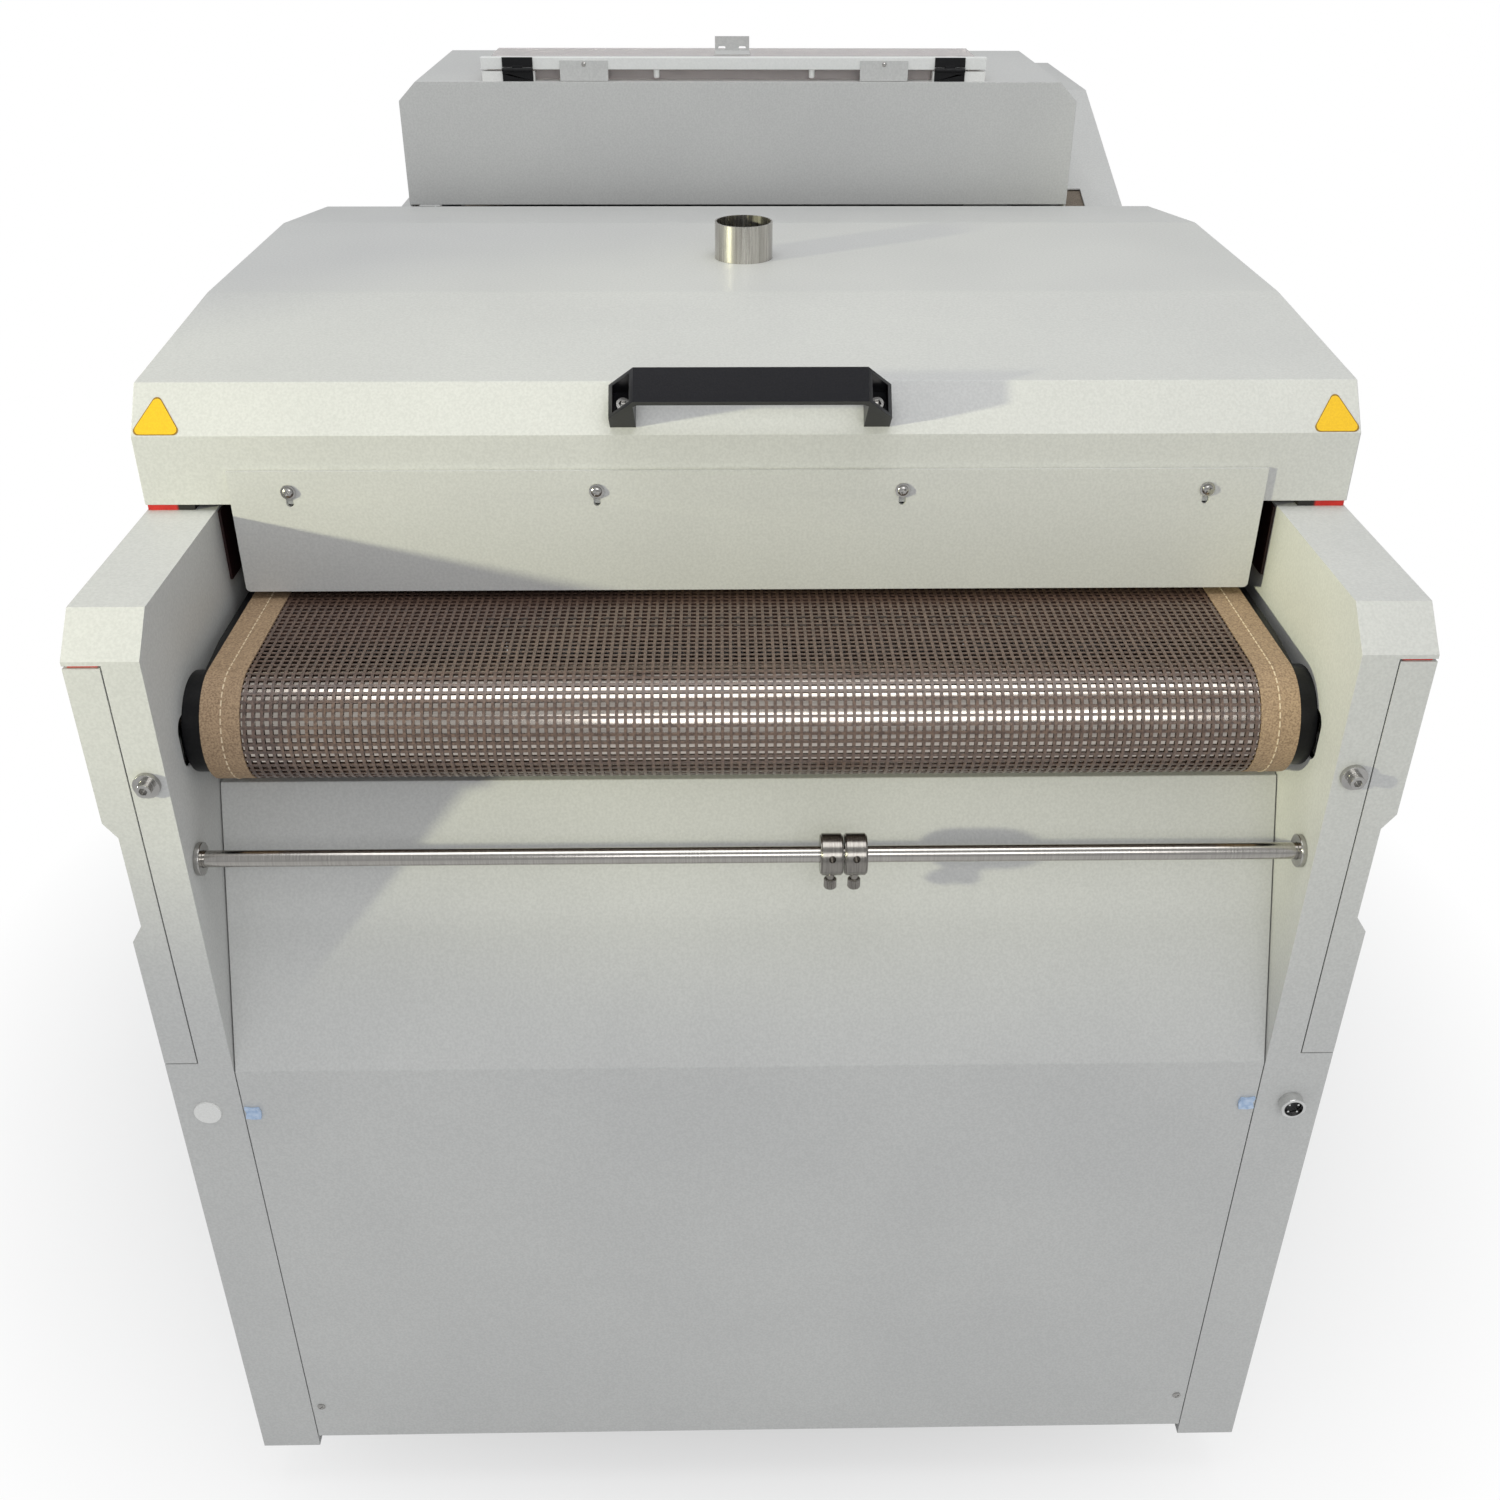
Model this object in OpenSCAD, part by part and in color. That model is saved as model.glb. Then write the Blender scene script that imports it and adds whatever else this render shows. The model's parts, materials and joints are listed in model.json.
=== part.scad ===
// Powder shaker dryer: a tunnel oven with a mesh belt, a lifting hood,
// a powder hopper at the back and a take-up rod at the front.
// X runs to the right seen from the front, Y to the back and Z up.

/* [Cabinet] */
// Width over both side housings
cab_w = 880; // [860:1:960]
// Depth from the front face to the back face
cab_d = 1459; // [1400:1:1600]
// Height of the side housings above the underside of the cabinet
cab_h = 826.5; // [800:0.5:900]
// Width of each side housing
housing_w = 50; // [47:1:56]
// Height of the cabinet above the floor
base_h = 60; // [50:1:90]
// Depth of the bevel at the front top edge of a housing
bevel_y = 27; // [20:1:40]
// Height of the bevel at the front top edge of a housing
bevel_z = 25.5; // [18:0.5:26]
// Thickness of the sheet metal
sheet_t = 2; // [1.5:0.1:2.2]

/* [Front panel] */
// Height of the lower edge of the front panel
panel_z0 = 13; // [5:1:40]
// Drop from the housings' top to the top edge of the front panel
panel_down = 171.5; // [168:0.5:186]
// Distance that the slope of the front panel runs back
panel_back = 88; // [70:1:95]

/* [Side doors] */
// Drop from the housings' top to the upper edge of a side door
door_down = 30.5; // [28.5:0.5:36]
// Width of the door strip that wraps on to the front
door_wrap = 24; // [22:1:28]
// Distance that a side door reaches behind the hood
door_past = 7; // [5:1:12]
// Height of the finger pull along the door edge
pull_h = 101; // [80:1:120]
// Depth of the finger pull
pull_d = 8.5; // [6:0.5:10]

/* [Hood] */
// Distance from the front face to the front of the hood
hood_y = 187; // [180:1:200]
// Distance from the back of the hood to the back face
rear_l = 622; // [610:1:700]
// Gap between the housings and the hood
hood_lift = 4.5; // [3.5:0.5:8]
// Height of the vertical front face of the hood
hood_face_h = 52; // [48:1:60]
// Depth of the steep bevel above the front face
hood_bevel_y = 26; // [22:1:32]
// Height of the steep bevel above the front face
hood_bevel_z = 31; // [27:1:36]
// Height of the shallow slope behind the bevel
hood_slope_z = 14; // [8:1:20]
// Depth of the back slope of the hood
hood_back_y = 177; // [160:1:180]
// Drop of the back slope of the hood
hood_back_z = 21; // [15:1:26]

/* [Exit flap] */
// Gap between the flap's side edge and the side wall
flap_margin = 13; // [12:1:30]
// Gap between the belt and the exit flap
flap_over = 6; // [5:0.5:10]
// Height of the exit flap
flap_h = 94.5; // [92:0.5:98]
// Travel of the exit flap on its slots
flap_travel = 8; // [5:0.5:9]

/* [Handle] */
// Distance between the two handle screws
handle_span = 180; // [160:1:200]
// Distance that the handle stands off the hood
handle_h = 48; // [42:1:54]
// Width of the handle bar
handle_w = 25; // [22:1:28]

/* [Belt] */
// Gap between the belt's edge and the side wall
belt_margin = 15; // [12:1:40]
// Drop from the housings' top to the belt's upper face
belt_down = 69.5; // [68:0.5:72]
// Radius of the belt where it turns round a roller
belt_r = 41; // [38:0.5:43]
// Thickness of the belt
belt_t = 1.2; // [0.8:0.1:1.5]
// Distance from the front face to the axis of the nose roller
nose_y = 73; // [68:1:80]
// Distance from the axis of the drive roller to the back of the hood
drive_in = 57; // [50:1:90]

/* [Take-up rod] */
// Diameter of the rod
rod_d = 12; // [10:0.5:14]
// Drop from the housings' top to the rod
rod_down = 193.5; // [187:0.5:206]
// Distance from the front face to the axis of the rod
rod_y = 22; // [18:0.5:26]
// Outer diameter of the shaft collars
collar_d = 30; // [26:0.5:32]
// Width of a shaft collar
collar_w = 16; // [14:0.5:17]

/* [Exhaust] */
// Outer diameter of the exhaust stub
stub_d = 50.8; // [45:0.1:60]
// Height of the stub above the hood
stub_h = 31; // [25:1:50]

/* [Hopper] */
// Distance from a side wall to the hopper's side
hopper_in = 30; // [28:1:60]
// Distance from the back of the hood to the front of the hopper box
hopper_out = 42.4; // [42:0.2:47]
// Depth of the hopper box
hopper_d = 265; // [258:1:290]
// Height of the hopper's top above the housings
hopper_up = 197.9; // [190:0.1:215]
// Height of the hopper's front plate
hopper_h = 124.4; // [121:0.2:128]
// Size of the bevel along the two upper side edges
hopper_bevel = 19; // [14:1:24]

/* [Console] */
// Depth of the flat top of the console
console_flat = 258; // [240:1:265]
// Height of the flat top of the console above the housings
console_up = 146.5; // [134:0.5:163]
// Width of the slim part of the console
console_w = 74; // [72:1:76]
// Width of the wide part of the console at the back
console_back_w = 210; // [200:1:260]

/* [Hidden] */
$fn = 48;
square_turn = 90;

// Clearances
run_gap = 0.05;
body_gap = 0.4;
hole_gap = 0.2;
seam = 1;
cut = 1;

// Places shared by several pieces
half_w = cab_w / 2;
wall_x = half_w - housing_w;
wall_in_x = wall_x + sheet_t;
skin_x = half_w - sheet_t;
door_x = half_w - door_wrap;
front_proj = 10;
estop_h = 12;
estop_stand = 16;
rear_proj = estop_h + estop_stand;
mid_y = (cab_d + rear_proj - front_proj) / 2;
hood_y1 = cab_d - rear_l;
hood_z = cab_h + hood_lift;

// Frame and feet
tube = 40;
tube_t = 2.5;
frame_y0 = 20;
frame_y1 = cab_d - frame_y0;
beam_inset = 60;
foot_inset = 95;
foot_pad_r = 30;
foot_pad_h = 6;
foot_cup_r = 14;
foot_cup_h = 12;
foot_stud_r = 6;
foot_nut_r = 11;
foot_nut_h = 8;
foot_stud_up = 20;

// Belt, shafts and their bearings
belt_w = 2 * (wall_x - belt_margin);
belt_z = cab_h - belt_down;
drive_y = hood_y1 - drive_in;
roller_z = belt_z - belt_r;
roller_shaft_r = 10;
roller_end_t = 8;
roller_wall = 3;
roller_gap = 0.3;
roller_r = belt_r - belt_t - roller_gap;
roller_side = 5.5;
roller_w = belt_w - 2 * roller_side;
rail_gap = 1;
rail_x = belt_w / 2 + rail_gap;
rail_nose_back = 3;
rail_nose_drop = 2;
rail_in = 5;
rail_r = belt_r - rail_in;
rail_top = belt_z - belt_t - body_gap;
rail_end = 50;
rail_t = 5;
slot_h = 38;
slot_corner = 10;
slot_y0 = 35;
slot_y1 = 130;
guide_shaft_r = 8;
guide_r = 20;
guide_in = 29;
guide_y = cab_d - guide_in;
guide_down = 36;
guide_z = cab_h - guide_down;
beater_in = 279;
beater_y = cab_d - beater_in;
beater_down = 126.5;
beater_z = cab_h - beater_down;
beater_hub_r = 14;
beater_fin_r = 50;
beater_fin_t = 3;
beater_margin = 30;
beater_fins = 3;
beater_turn = 25;

// Drive
sprocket_out = 6;
sprocket_x = wall_in_x + sprocket_out;
sprocket_t = 5;
chain_t = 7;
drive_teeth = 20;
motor_teeth = 12;
link_l = 9.525;
tooth_h = 2.4;
drive_pitch_r = link_l / 2 / sin(180 / drive_teeth);
motor_pitch_r = link_l / 2 / sin(180 / motor_teeth);
chain_band = 4;
motor_down = 156;
motor_z = roller_z - motor_down;
motor_shaft_r = 7;
gearbox = 70;
gearbox_l = 60;
motor_r = 34;
motor_l = 120;
motor_fit = 50;

// Tension screws
tension_out = 13;
tension_x = wall_x + tension_out;
tension_down = 6.5;
tension_z = roller_z - tension_down;
washer_r = 9;
washer_t = 4;
cap_r = 5;
cap_h = front_proj - washer_t;
cap_socket_r = 2.9;
cap_socket_d = 3.5;
screw_r = 3;
block_w = 16;
block_y = 46;
block_h = 40;
block_bite = 10;

// Take-up parts
rod_z = cab_h - rod_down;
flange_r = 12;
flange_t = 4;
hub_r = 9;
hub_l = 7;
takeup_motor_r = 15.5;
takeup_motor_l = 31;
rod_overrun = 8;
rod_blind = 4;
collar_left_x = 55.2;
collar_gap = 1;
collar_right_x = collar_left_x + collar_w + collar_gap;
collar_hole_r = 2.5;
collar_hole_d = 5;
collar_chamfer = 1;
thumb_shank_r = 3;
thumb_head_r = 4.6;
thumb_head_h = 8;
thumb_neck_h = 4;
thumb_tip_r = 2.2;
thumb_tip_h = 2.5;

// Side doors
door_len = hood_y1 + door_past;
door_z1 = cab_h - door_down;
door_foot_share = 0.559;
door_z0 = cab_h * door_foot_share;
pull_share = 0.4935;
pull_z0 = door_z0 + (door_z1 - door_z0 - pull_h) * pull_share;
pull_taper = 12;
pull_back = 40;
door_corner = 6;
door_axis_x = half_w - door_corner;
door_axis_y = door_len - door_corner;
lug_w = 12;
lug_d = 17;
lug_h = 9;
door_pin_l = 6;
seal_t = 1.6;

// Small parts on the front
panel_top_z = cab_h - panel_down;
panel_bend_share = 0.548;
panel_bend_z = cab_h * panel_bend_share;
plug_in = 23.3;
plug_x = plug_in - half_w;
plug_down = 50;
plug_z = door_z0 - plug_down;
plug_r = 10.2;
plug_h = 1.5;
plug_shank_r = 7;
plug_shank_l = 6;
conn_in = 23.7;
conn_x = half_w - conn_in;
conn_z = plug_z;
conn_r = 9.5;
conn_h = 9;
conn_bore_r = 7.2;
conn_bore_d = 6;
conn_shank_r = 7.5;
conn_shank_l = 14;
conn_pin_r = 0.8;
conn_pin_ring = 4.8;
panel_screw_in = 9;
panel_screw_x = wall_x - panel_screw_in;
panel_screw_up = 42;
panel_screw_down = 41.5;
panel_screw_zs = [panel_z0 + panel_screw_up, panel_bend_z - panel_screw_down];
panel_screw_r = 3.5;
panel_screw_h = 1.5;
panel_shank_r = 1.5;
panel_shank_l = 6;
panel_tab_w = 16;
panel_tab_h = 20;
panel_flange = 24;
panel_margin = 0.8;
panel_x = wall_x - panel_margin;

// Hood
hood_run = hood_y1 - hood_back_y - hood_bevel_y - hood_y;
hood_slope_share = 0.43;
hood_slope_y = hood_run * hood_slope_share;
hood_top_y = hood_run - hood_slope_y;
hood_z1 = hood_z + hood_face_h + hood_bevel_z + hood_slope_z;
hood_lip = 35;
seal_h = hood_z - cab_h - body_gap;
hinge_out = 11;
hinge_y = hood_y1 + hinge_out;
hinge_up = 19;
hinge_z = hood_z + hinge_up;
hinge_pin_r = 3;
hinge_r = 7;
hinge_in = 120;
hinge_x = wall_x - hinge_in;
hinge_knuckle = 20;
hinge_side = 0.5;
hinge_leaf_t = 3;
flap_w = 2 * (wall_x - flap_margin);
flap_z0 = belt_z + flap_over;
flap_z1 = flap_z0 + flap_h;
flap_t = 2.6;
flap_screw_in = 43;
flap_screw_span = flap_w - 2 * flap_screw_in;
flap_screw_up = 11;
flap_screw_z = hood_z + flap_screw_up;
flap_slot_r = 2.6;
flap_shank_r = 2;
flap_head_r = 5.5;
flap_head_h = 3;
flap_corner = 3.5;
handle_over = 10;
handle_foot_h = 17;
handle_corner = 3;
handle_slope = 19;
handle_bar = 6.5;
handle_foot_w = 18.5;
handle_rise = 5.7;
handle_hole_r = 3.2;
handle_pocket_r = 6.2;
handle_pocket_z = 8;
handle_cap_r = 5;
handle_cap_h = 5;
stub_share = 0.4584;
stub_y = hood_y + hood_bevel_y + hood_slope_y + hood_top_y * stub_share;
stub_wall = 1.5;
stub_depth = 12;
stub_step = 0.5;
liner_down = 56.5;
liner_z0 = cab_h - liner_down;
reflector_t = 1.5;
reflector_front = 38;
reflector_y0 = hood_y + reflector_front;
reflector_back = 37;
reflector_y1 = hood_y1 - reflector_back;
reflector_up = 15;
reflector_z0 = hood_z + reflector_up;
reflector_h = 40;
reflector_z1 = reflector_z0 + reflector_h;
reflector_x = wall_in_x;
tube_r = 6;
tube_cap_r = 9;
tube_cap_l = 16;
tube_count = 6;
tube_inset = 45;
tube_y0 = reflector_y0 + tube_inset;
tube_step = (reflector_y1 - tube_inset - tube_y0) / (tube_count - 1);
tube_up = 31;
tube_z = hood_z + tube_up;

// Cross bars
bridge_out = 19;
bridge_y = hood_y1 + bridge_out;
bridge_d = 16;
bridge_down = 56.5;
bridge_z0 = cab_h - bridge_down;
bridge_up = 11;
bridge_z1 = hood_z + bridge_up;
bridge_gap = 4;
bridge_top_x = half_w - console_w - bridge_gap;
bar_y = 28;
bar_inset = 16;
post_over = 4;
post_w = 24;
post_down = 66.5;
post_z0 = cab_h - post_down;
post_foot_h = 30;
runner_w = 12;
runner_h = 12;
platform_y0 = 118;
platform_t = 2;

// Hopper
hopper_w = 2 * (wall_x - hopper_in);
hopper_y = hood_y1 + hopper_out;
hopper_z1 = cab_h + hopper_up;
hopper_z0 = hopper_z1 - hopper_h;
hopper_side_h = 134.4;
hopper_side_z0 = hopper_z1 - hopper_side_h;
bar_x = hopper_w / 2 + post_over;
bar_z1 = hopper_side_z0;
lid_mid_x = -5;
window_in = 98;
window_x = hopper_w / 2 - window_in;
window_set = 20.6;
window_y0 = hopper_y + window_set;
window_d = 136;
window_y1 = window_y0 + window_d;
window_wall = 4;
window_h = 10.8;
trough_x_over = 2;
trough_x = window_x + trough_x_over;
trough_y = (window_y0 + window_y1) / 2;
trough_t = 2;
trough_slot = 20;
meter_r = 22;
meter_down = 121.4;
meter_z = hopper_z1 - meter_down;
meter_shaft_r = 6;
meter_end = 12;
feed_motor_w = 50;
feed_motor_l = 70;

// Lid
lid_axis_set = 2.1;
lid_axis_y = hopper_y + lid_axis_set;
lid_axis_z = hopper_z1 + window_h + body_gap;
lid_t = 3;
lid_over = 5;
lid_x = window_x + lid_over;
lid_back_over = 6.5;
lid_back = window_y1 + lid_back_over;
lid_bar_over = 4.5;
lid_bar_x = window_x + lid_bar_over;
lid_bar_set = 2.5;
lid_bar_y = lid_axis_y + lid_bar_set;
lid_bar_d = 10;
lid_bar_h = 12;
lid_leaf_t = 1.6;
lid_leaf_w = 32;
lid_leaf_in = 34.4;
lid_leaf_x = window_x - lid_leaf_in;
lid_leaf_h = 9;
lid_pin_r = 1.2;
lid_knuckle_r = 2.2;
lid_block_w = 55.3;
lid_block_in = 1.5;
tab_w = 50.5;
tab_h = 19.8;
tab_t = 2;
tab_in = 104;
tab_x = window_x - tab_in;
lid_pull_x = -6.3;
lid_pull_w = 38.4;
lid_pull_foot = 35;
lid_pull_back = 33.5;
lid_pull_y = lid_back - lid_pull_back;
lid_pull_h = 16;
lid_pull_t = 1.5;
lid_slot_r = 1.5;
lid_slot_l = 8;
lid_slot_side = 11.4;
lid_slot_up = 4.3;

// Console
console_z = cab_h + console_up;
console_x = half_w - console_w;
console_y1 = cab_d - console_flat;
console_past = 15;
console_y0 = hood_y1 + console_past;
console_front_h = 24.1;
console_z0 = cab_h + console_front_h;
vent_set = 96;
vent_y0 = console_y0 + vent_set;
vent_d = 36;
vent_in = 43;
vent_x1 = half_w - vent_in;
vent_w = 24;
cable_r = 20;
cable_in = 159;
cable_y = cab_d - cable_in;
screen_w = 150;
screen_h = 107;
screen_in = 125;
screen_x = half_w - screen_in;
screen_down = 73;
screen_z = console_z - screen_down;
screen_rim = 6;
screen_proj = 5;
screen_body = 28;
estop_in = 25;
estop_x = half_w - estop_in;
estop_down = 38;
estop_z = console_z - estop_down;
estop_r = 15;
estop_stem_r = 6;
estop_stem_in = 20;
estop_boss_r = 13;
estop_boss_h = 10;
knob_down = 101;
knob_z = console_z - knob_down;
knob_r = 12;
knob_base_h = 8;
knob_grip_h = 12;
knob_grip_w = 6;
knob_stem_r = 4;

// Rear panel and tray
rear_down = 126.5;
rear_top_z = cab_h - rear_down;
tray_down = 404.5;
tray_z0 = cab_h - tray_down;
tray_h = 78;
tray_in = 94;
tray_w = 2 * (wall_x - tray_in);
tray_len = 560;
tray_gap = 4;
tray_face_over = 14;
tray_pull_w = 160;
tray_pull_h = 14;
tray_pull_d = 16;
inlet_in = 60;
inlet_x = inlet_in - wall_x;
inlet_z = 120;
inlet_w = 50;
inlet_h = 30;
inlet_proj = 6;
inlet_body = 26;
inlet_well = 20;
inlet_rim = 6;
inlet_pin = 4;

// Frames of reference and common shapes
module stand() translate([0, -mid_y, base_h]) children();

module both() {
    children();
    mirror([1, 0, 0]) children();
}

module yz_plate(x0, t, pts)
    translate([x0, 0, 0]) rotate([90, 0, 90]) linear_extrude(t) polygon(pts);

module xz_plate(y0, t, pts)
    translate([0, y0 + t, 0]) rotate([90, 0, 0]) linear_extrude(t) polygon(pts);

module block(a, b) translate(a) cube(b - a);

module x_rod(x0, x1, r, y, z)
    translate([x0, y, z]) rotate([0, 90, 0]) cylinder(h = x1 - x0, r = r);

module y_rod(y0, y1, r, x, z)
    translate([x, y0, z]) rotate([-90, 0, 0]) cylinder(h = y1 - y0, r = r);

module z_rod(z0, z1, r, x, y)
    translate([x, y, z0]) cylinder(h = z1 - z0, r = r);

// Setback of a bend's inner corner for a sheet of thickness t
function setback(t, turn) = t * tan(turn / 2);

bevel_angle = atan2(bevel_z, bevel_y);
bevel_low = setback(sheet_t, square_turn - bevel_angle);
bevel_high = setback(sheet_t, bevel_angle);

// Outline of the housing inside its skin, from the side
function wall_outline() = [
    [sheet_t, 0],
    [sheet_t, cab_h - bevel_z - bevel_low],
    [bevel_y + bevel_high, cab_h - sheet_t],
    [cab_d - sheet_t, cab_h - sheet_t],
    [cab_d - sheet_t, 0]];

// Base
module base_frame() color("dimgray") stand() {
    both() difference() {
        block([wall_x - tube, frame_y0, 0], [wall_x, frame_y1, tube]);
        block([wall_x - tube + tube_t, frame_y0 - cut, tube_t],
            [wall_x - tube_t, frame_y1 + cut, tube - tube_t]);
        for (y = [foot_inset, cab_d - foot_inset])
            z_rod(-cut, tube_t + cut, foot_stud_r + hole_gap, wall_x - tube / 2, y);
    }
    for (y = [beam_inset, (cab_d - tube) / 2, cab_d - beam_inset - tube]) difference() {
        block([-wall_x + tube + hole_gap, y, 0], [wall_x - tube - hole_gap, y + tube, tube]);
        block([-wall_x, y + tube_t, tube_t], [wall_x, y + tube - tube_t, tube - tube_t]);
    }
}

module levelling_feet() color("gainsboro") stand()
    for (sx = [-1, 1], y = [foot_inset, cab_d - foot_inset])
        translate([sx * (wall_x - tube / 2), y, 0]) {
            z_rod(-base_h, foot_pad_h - base_h, foot_pad_r, 0, 0);
            z_rod(-base_h, foot_cup_h - base_h, foot_cup_r, 0, 0);
            z_rod(-base_h, foot_stud_up, foot_stud_r, 0, 0);
            translate([0, 0, -foot_nut_h]) cylinder(h = foot_nut_h, r = foot_nut_r, $fn = 6);
        }

// Side housings
module nose_slot() {
    z0 = roller_z - slot_h / 2;
    z1 = roller_z + slot_h / 2;
    for (y = [slot_y0 + slot_corner, slot_y1 - slot_corner],
        z = [z0 + slot_corner, z1 - slot_corner])
        x_rod(wall_x - cut, wall_in_x + cut, slot_corner, y, z);
    block([wall_x - cut, slot_y0 + slot_corner, z0],
        [wall_in_x + cut, slot_y1 - slot_corner, z1]);
    block([wall_x - cut, slot_y0, z0 + slot_corner],
        [wall_in_x + cut, slot_y1, z1 - slot_corner]);
}

module inner_wall_plate() difference() {
    union() {
        yz_plate(wall_x, sheet_t, wall_outline());
        for (z = panel_screw_zs) block([wall_x - panel_tab_w, sheet_t, z - panel_tab_h / 2],
            [wall_in_x, 2 * sheet_t, z + panel_tab_h / 2]);
    }
    for (z = panel_screw_zs)
        y_rod(sheet_t - cut, 2 * sheet_t + cut, panel_shank_r + hole_gap, panel_screw_x, z);
    nose_slot();
    x_rod(wall_x - cut, wall_in_x + cut, hub_r + hole_gap, rod_y, rod_z);
    x_rod(wall_x - cut, wall_in_x + cut, roller_shaft_r + 2 * body_gap, drive_y, roller_z);
    x_rod(wall_x - cut, wall_in_x + cut, guide_shaft_r + run_gap, guide_y, guide_z);
    x_rod(wall_x - cut, wall_in_x + cut, guide_shaft_r + run_gap, beater_y, beater_z);
}

module inner_wall_left() color("gainsboro") stand() mirror([1, 0, 0]) inner_wall_plate();

module inner_wall_right() color("gainsboro") stand() difference() {
    inner_wall_plate();
    x_rod(wall_x - cut, wall_in_x + cut, motor_shaft_r + 2 * body_gap, drive_y, motor_z);
}

// Sheet that wraps the front, the top, the back and the outer side of a housing
module cover_skin() {
    low = door_z0 - seam;
    high = door_z1 + 2 * seam;
    xz_plate(0, sheet_t, [
        [wall_x, 0], [half_w, 0], [half_w, low], [door_x - seam, low],
        [door_x - seam, high], [half_w, high], [half_w, cab_h - bevel_z],
        [wall_x, cab_h - bevel_z]]);
    yz_plate(wall_x, housing_w, [
        [0, cab_h - bevel_z - sheet_t], [0, cab_h - bevel_z], [bevel_y, cab_h],
        [cab_d, cab_h], [cab_d, cab_h - sheet_t], [bevel_y + bevel_high, cab_h - sheet_t],
        [sheet_t, cab_h - bevel_z - bevel_low], [sheet_t, cab_h - bevel_z - sheet_t]]);
    difference() {
        yz_plate(skin_x, sheet_t, [
            [0, 0], [0, cab_h - bevel_z], [bevel_y, cab_h], [cab_d, cab_h], [cab_d, 0]]);
        block([skin_x - cut, -cut, low], [half_w + cut, door_len + 2 * seam, high]);
    }
    block([wall_x, cab_d - sheet_t, 0], [half_w, cab_d, cab_h]);
    block([wall_in_x, 0, 0], [half_w, cab_d, sheet_t]);
    block([door_x, 0, high], [half_w, door_axis_y, high + sheet_t]);
    block([door_x, 0, low - sheet_t], [half_w, door_axis_y, low]);
    block([half_w - sheet_t - lug_w, door_axis_y - lug_d / 2, high],
        [half_w, door_axis_y + lug_d / 2, high + lug_h]);
    block([half_w - sheet_t - lug_w, door_axis_y - lug_d / 2, low - lug_h],
        [half_w, door_axis_y + lug_d / 2, low]);
}

module side_cover() difference() {
    cover_skin();
    z_rod(door_z0 - seam - lug_h - cut, door_z1 + 2 * seam + lug_h + cut,
        hinge_pin_r + run_gap, door_axis_x, door_axis_y);
    y_rod(-cut, sheet_t + cut, screw_r + hole_gap, tension_x, tension_z);
}

module side_cover_left() color("gainsboro") stand() difference() {
    mirror([1, 0, 0]) side_cover();
    y_rod(-cut, sheet_t + cut, plug_shank_r + hole_gap, plug_x, plug_z);
}

module side_cover_right() color("gainsboro") stand() difference() {
    side_cover();
    y_rod(-cut, sheet_t + cut, conn_shank_r + hole_gap, conn_x, conn_z);
    z_rod(cab_h - sheet_t - cut, cab_h + cut, cable_r, estop_x, cable_y);
}

// Door tray with a finger pull in its front edge, turning on two pins
module door_block(x0, inset) {
    z0 = door_z0 + inset;
    z1 = door_z1 - inset;
    block([x0, inset, z0], [half_w - inset, door_axis_y, z1]);
    block([x0, inset, z0], [door_axis_x, door_len - inset, z1]);
    z_rod(z0, z1, door_corner - inset, door_axis_x, door_axis_y);
}

module side_door() {
    difference() {
        union() {
            difference() {
                door_block(door_x, 0);
                door_block(door_x - cut, sheet_t);
            }
            block([half_w - pull_d - sheet_t, 0, pull_z0 - sheet_t],
                [half_w, pull_back + sheet_t, pull_z0 + pull_h + sheet_t]);
        }
        xz_plate(-cut, pull_back + cut, [
            [half_w - pull_d, pull_z0 + pull_taper],
            [half_w, pull_z0],
            [half_w + cut, pull_z0],
            [half_w + cut, pull_z0 + pull_h],
            [half_w, pull_z0 + pull_h],
            [half_w - pull_d, pull_z0 + pull_h - pull_taper]]);
    }
    z_rod(door_z1 - cut, door_z1 + door_pin_l, hinge_pin_r, door_axis_x, door_axis_y);
    z_rod(door_z0 - door_pin_l, door_z0 + cut, hinge_pin_r, door_axis_x, door_axis_y);
}

module side_door_left() color("gainsboro") stand() mirror([1, 0, 0]) side_door();
module side_door_right() color("gainsboro") stand() side_door();

module red_seals() color("firebrick") stand() both() {
    block([half_w - hood_lip, hood_y + sheet_t, cab_h],
        [half_w - seam, hood_y1 - sheet_t, cab_h + seal_h]);
    block([door_x + seam, sheet_t - body_gap, door_z1 + 2 * seam - seal_t],
        [skin_x - seam, door_axis_y - lug_d, door_z1 + 2 * seam]);
}

// Front panel
panel_turn = atan2(panel_back, panel_top_z - panel_bend_z);
panel_low = setback(sheet_t, panel_turn);
panel_high = setback(sheet_t, square_turn - panel_turn);

module front_panel() color("gainsboro") stand() difference() {
    yz_plate(-panel_x, 2 * panel_x, [
        [0, panel_z0], [0, panel_bend_z], [panel_back, panel_top_z],
        [panel_back + panel_flange, panel_top_z],
        [panel_back + panel_flange, panel_top_z - sheet_t],
        [panel_back + panel_high, panel_top_z - sheet_t],
        [sheet_t, panel_bend_z - panel_low], [sheet_t, panel_z0]]);
    for (x = [-panel_screw_x, panel_screw_x], z = panel_screw_zs)
        y_rod(-cut, sheet_t + cut, panel_shank_r + hole_gap, x, z);
}

module panel_screws() color("silver") stand()
    for (x = [-panel_screw_x, panel_screw_x], z = panel_screw_zs) {
        y_rod(-panel_screw_h, 0, panel_screw_r, x, z);
        y_rod(-panel_screw_h, panel_shank_l, panel_shank_r, x, z);
    }

module hole_plug() color("white") stand() {
    y_rod(-plug_h, 0, plug_r, plug_x, plug_z);
    y_rod(-plug_h, plug_shank_l, plug_shank_r, plug_x, plug_z);
}

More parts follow.
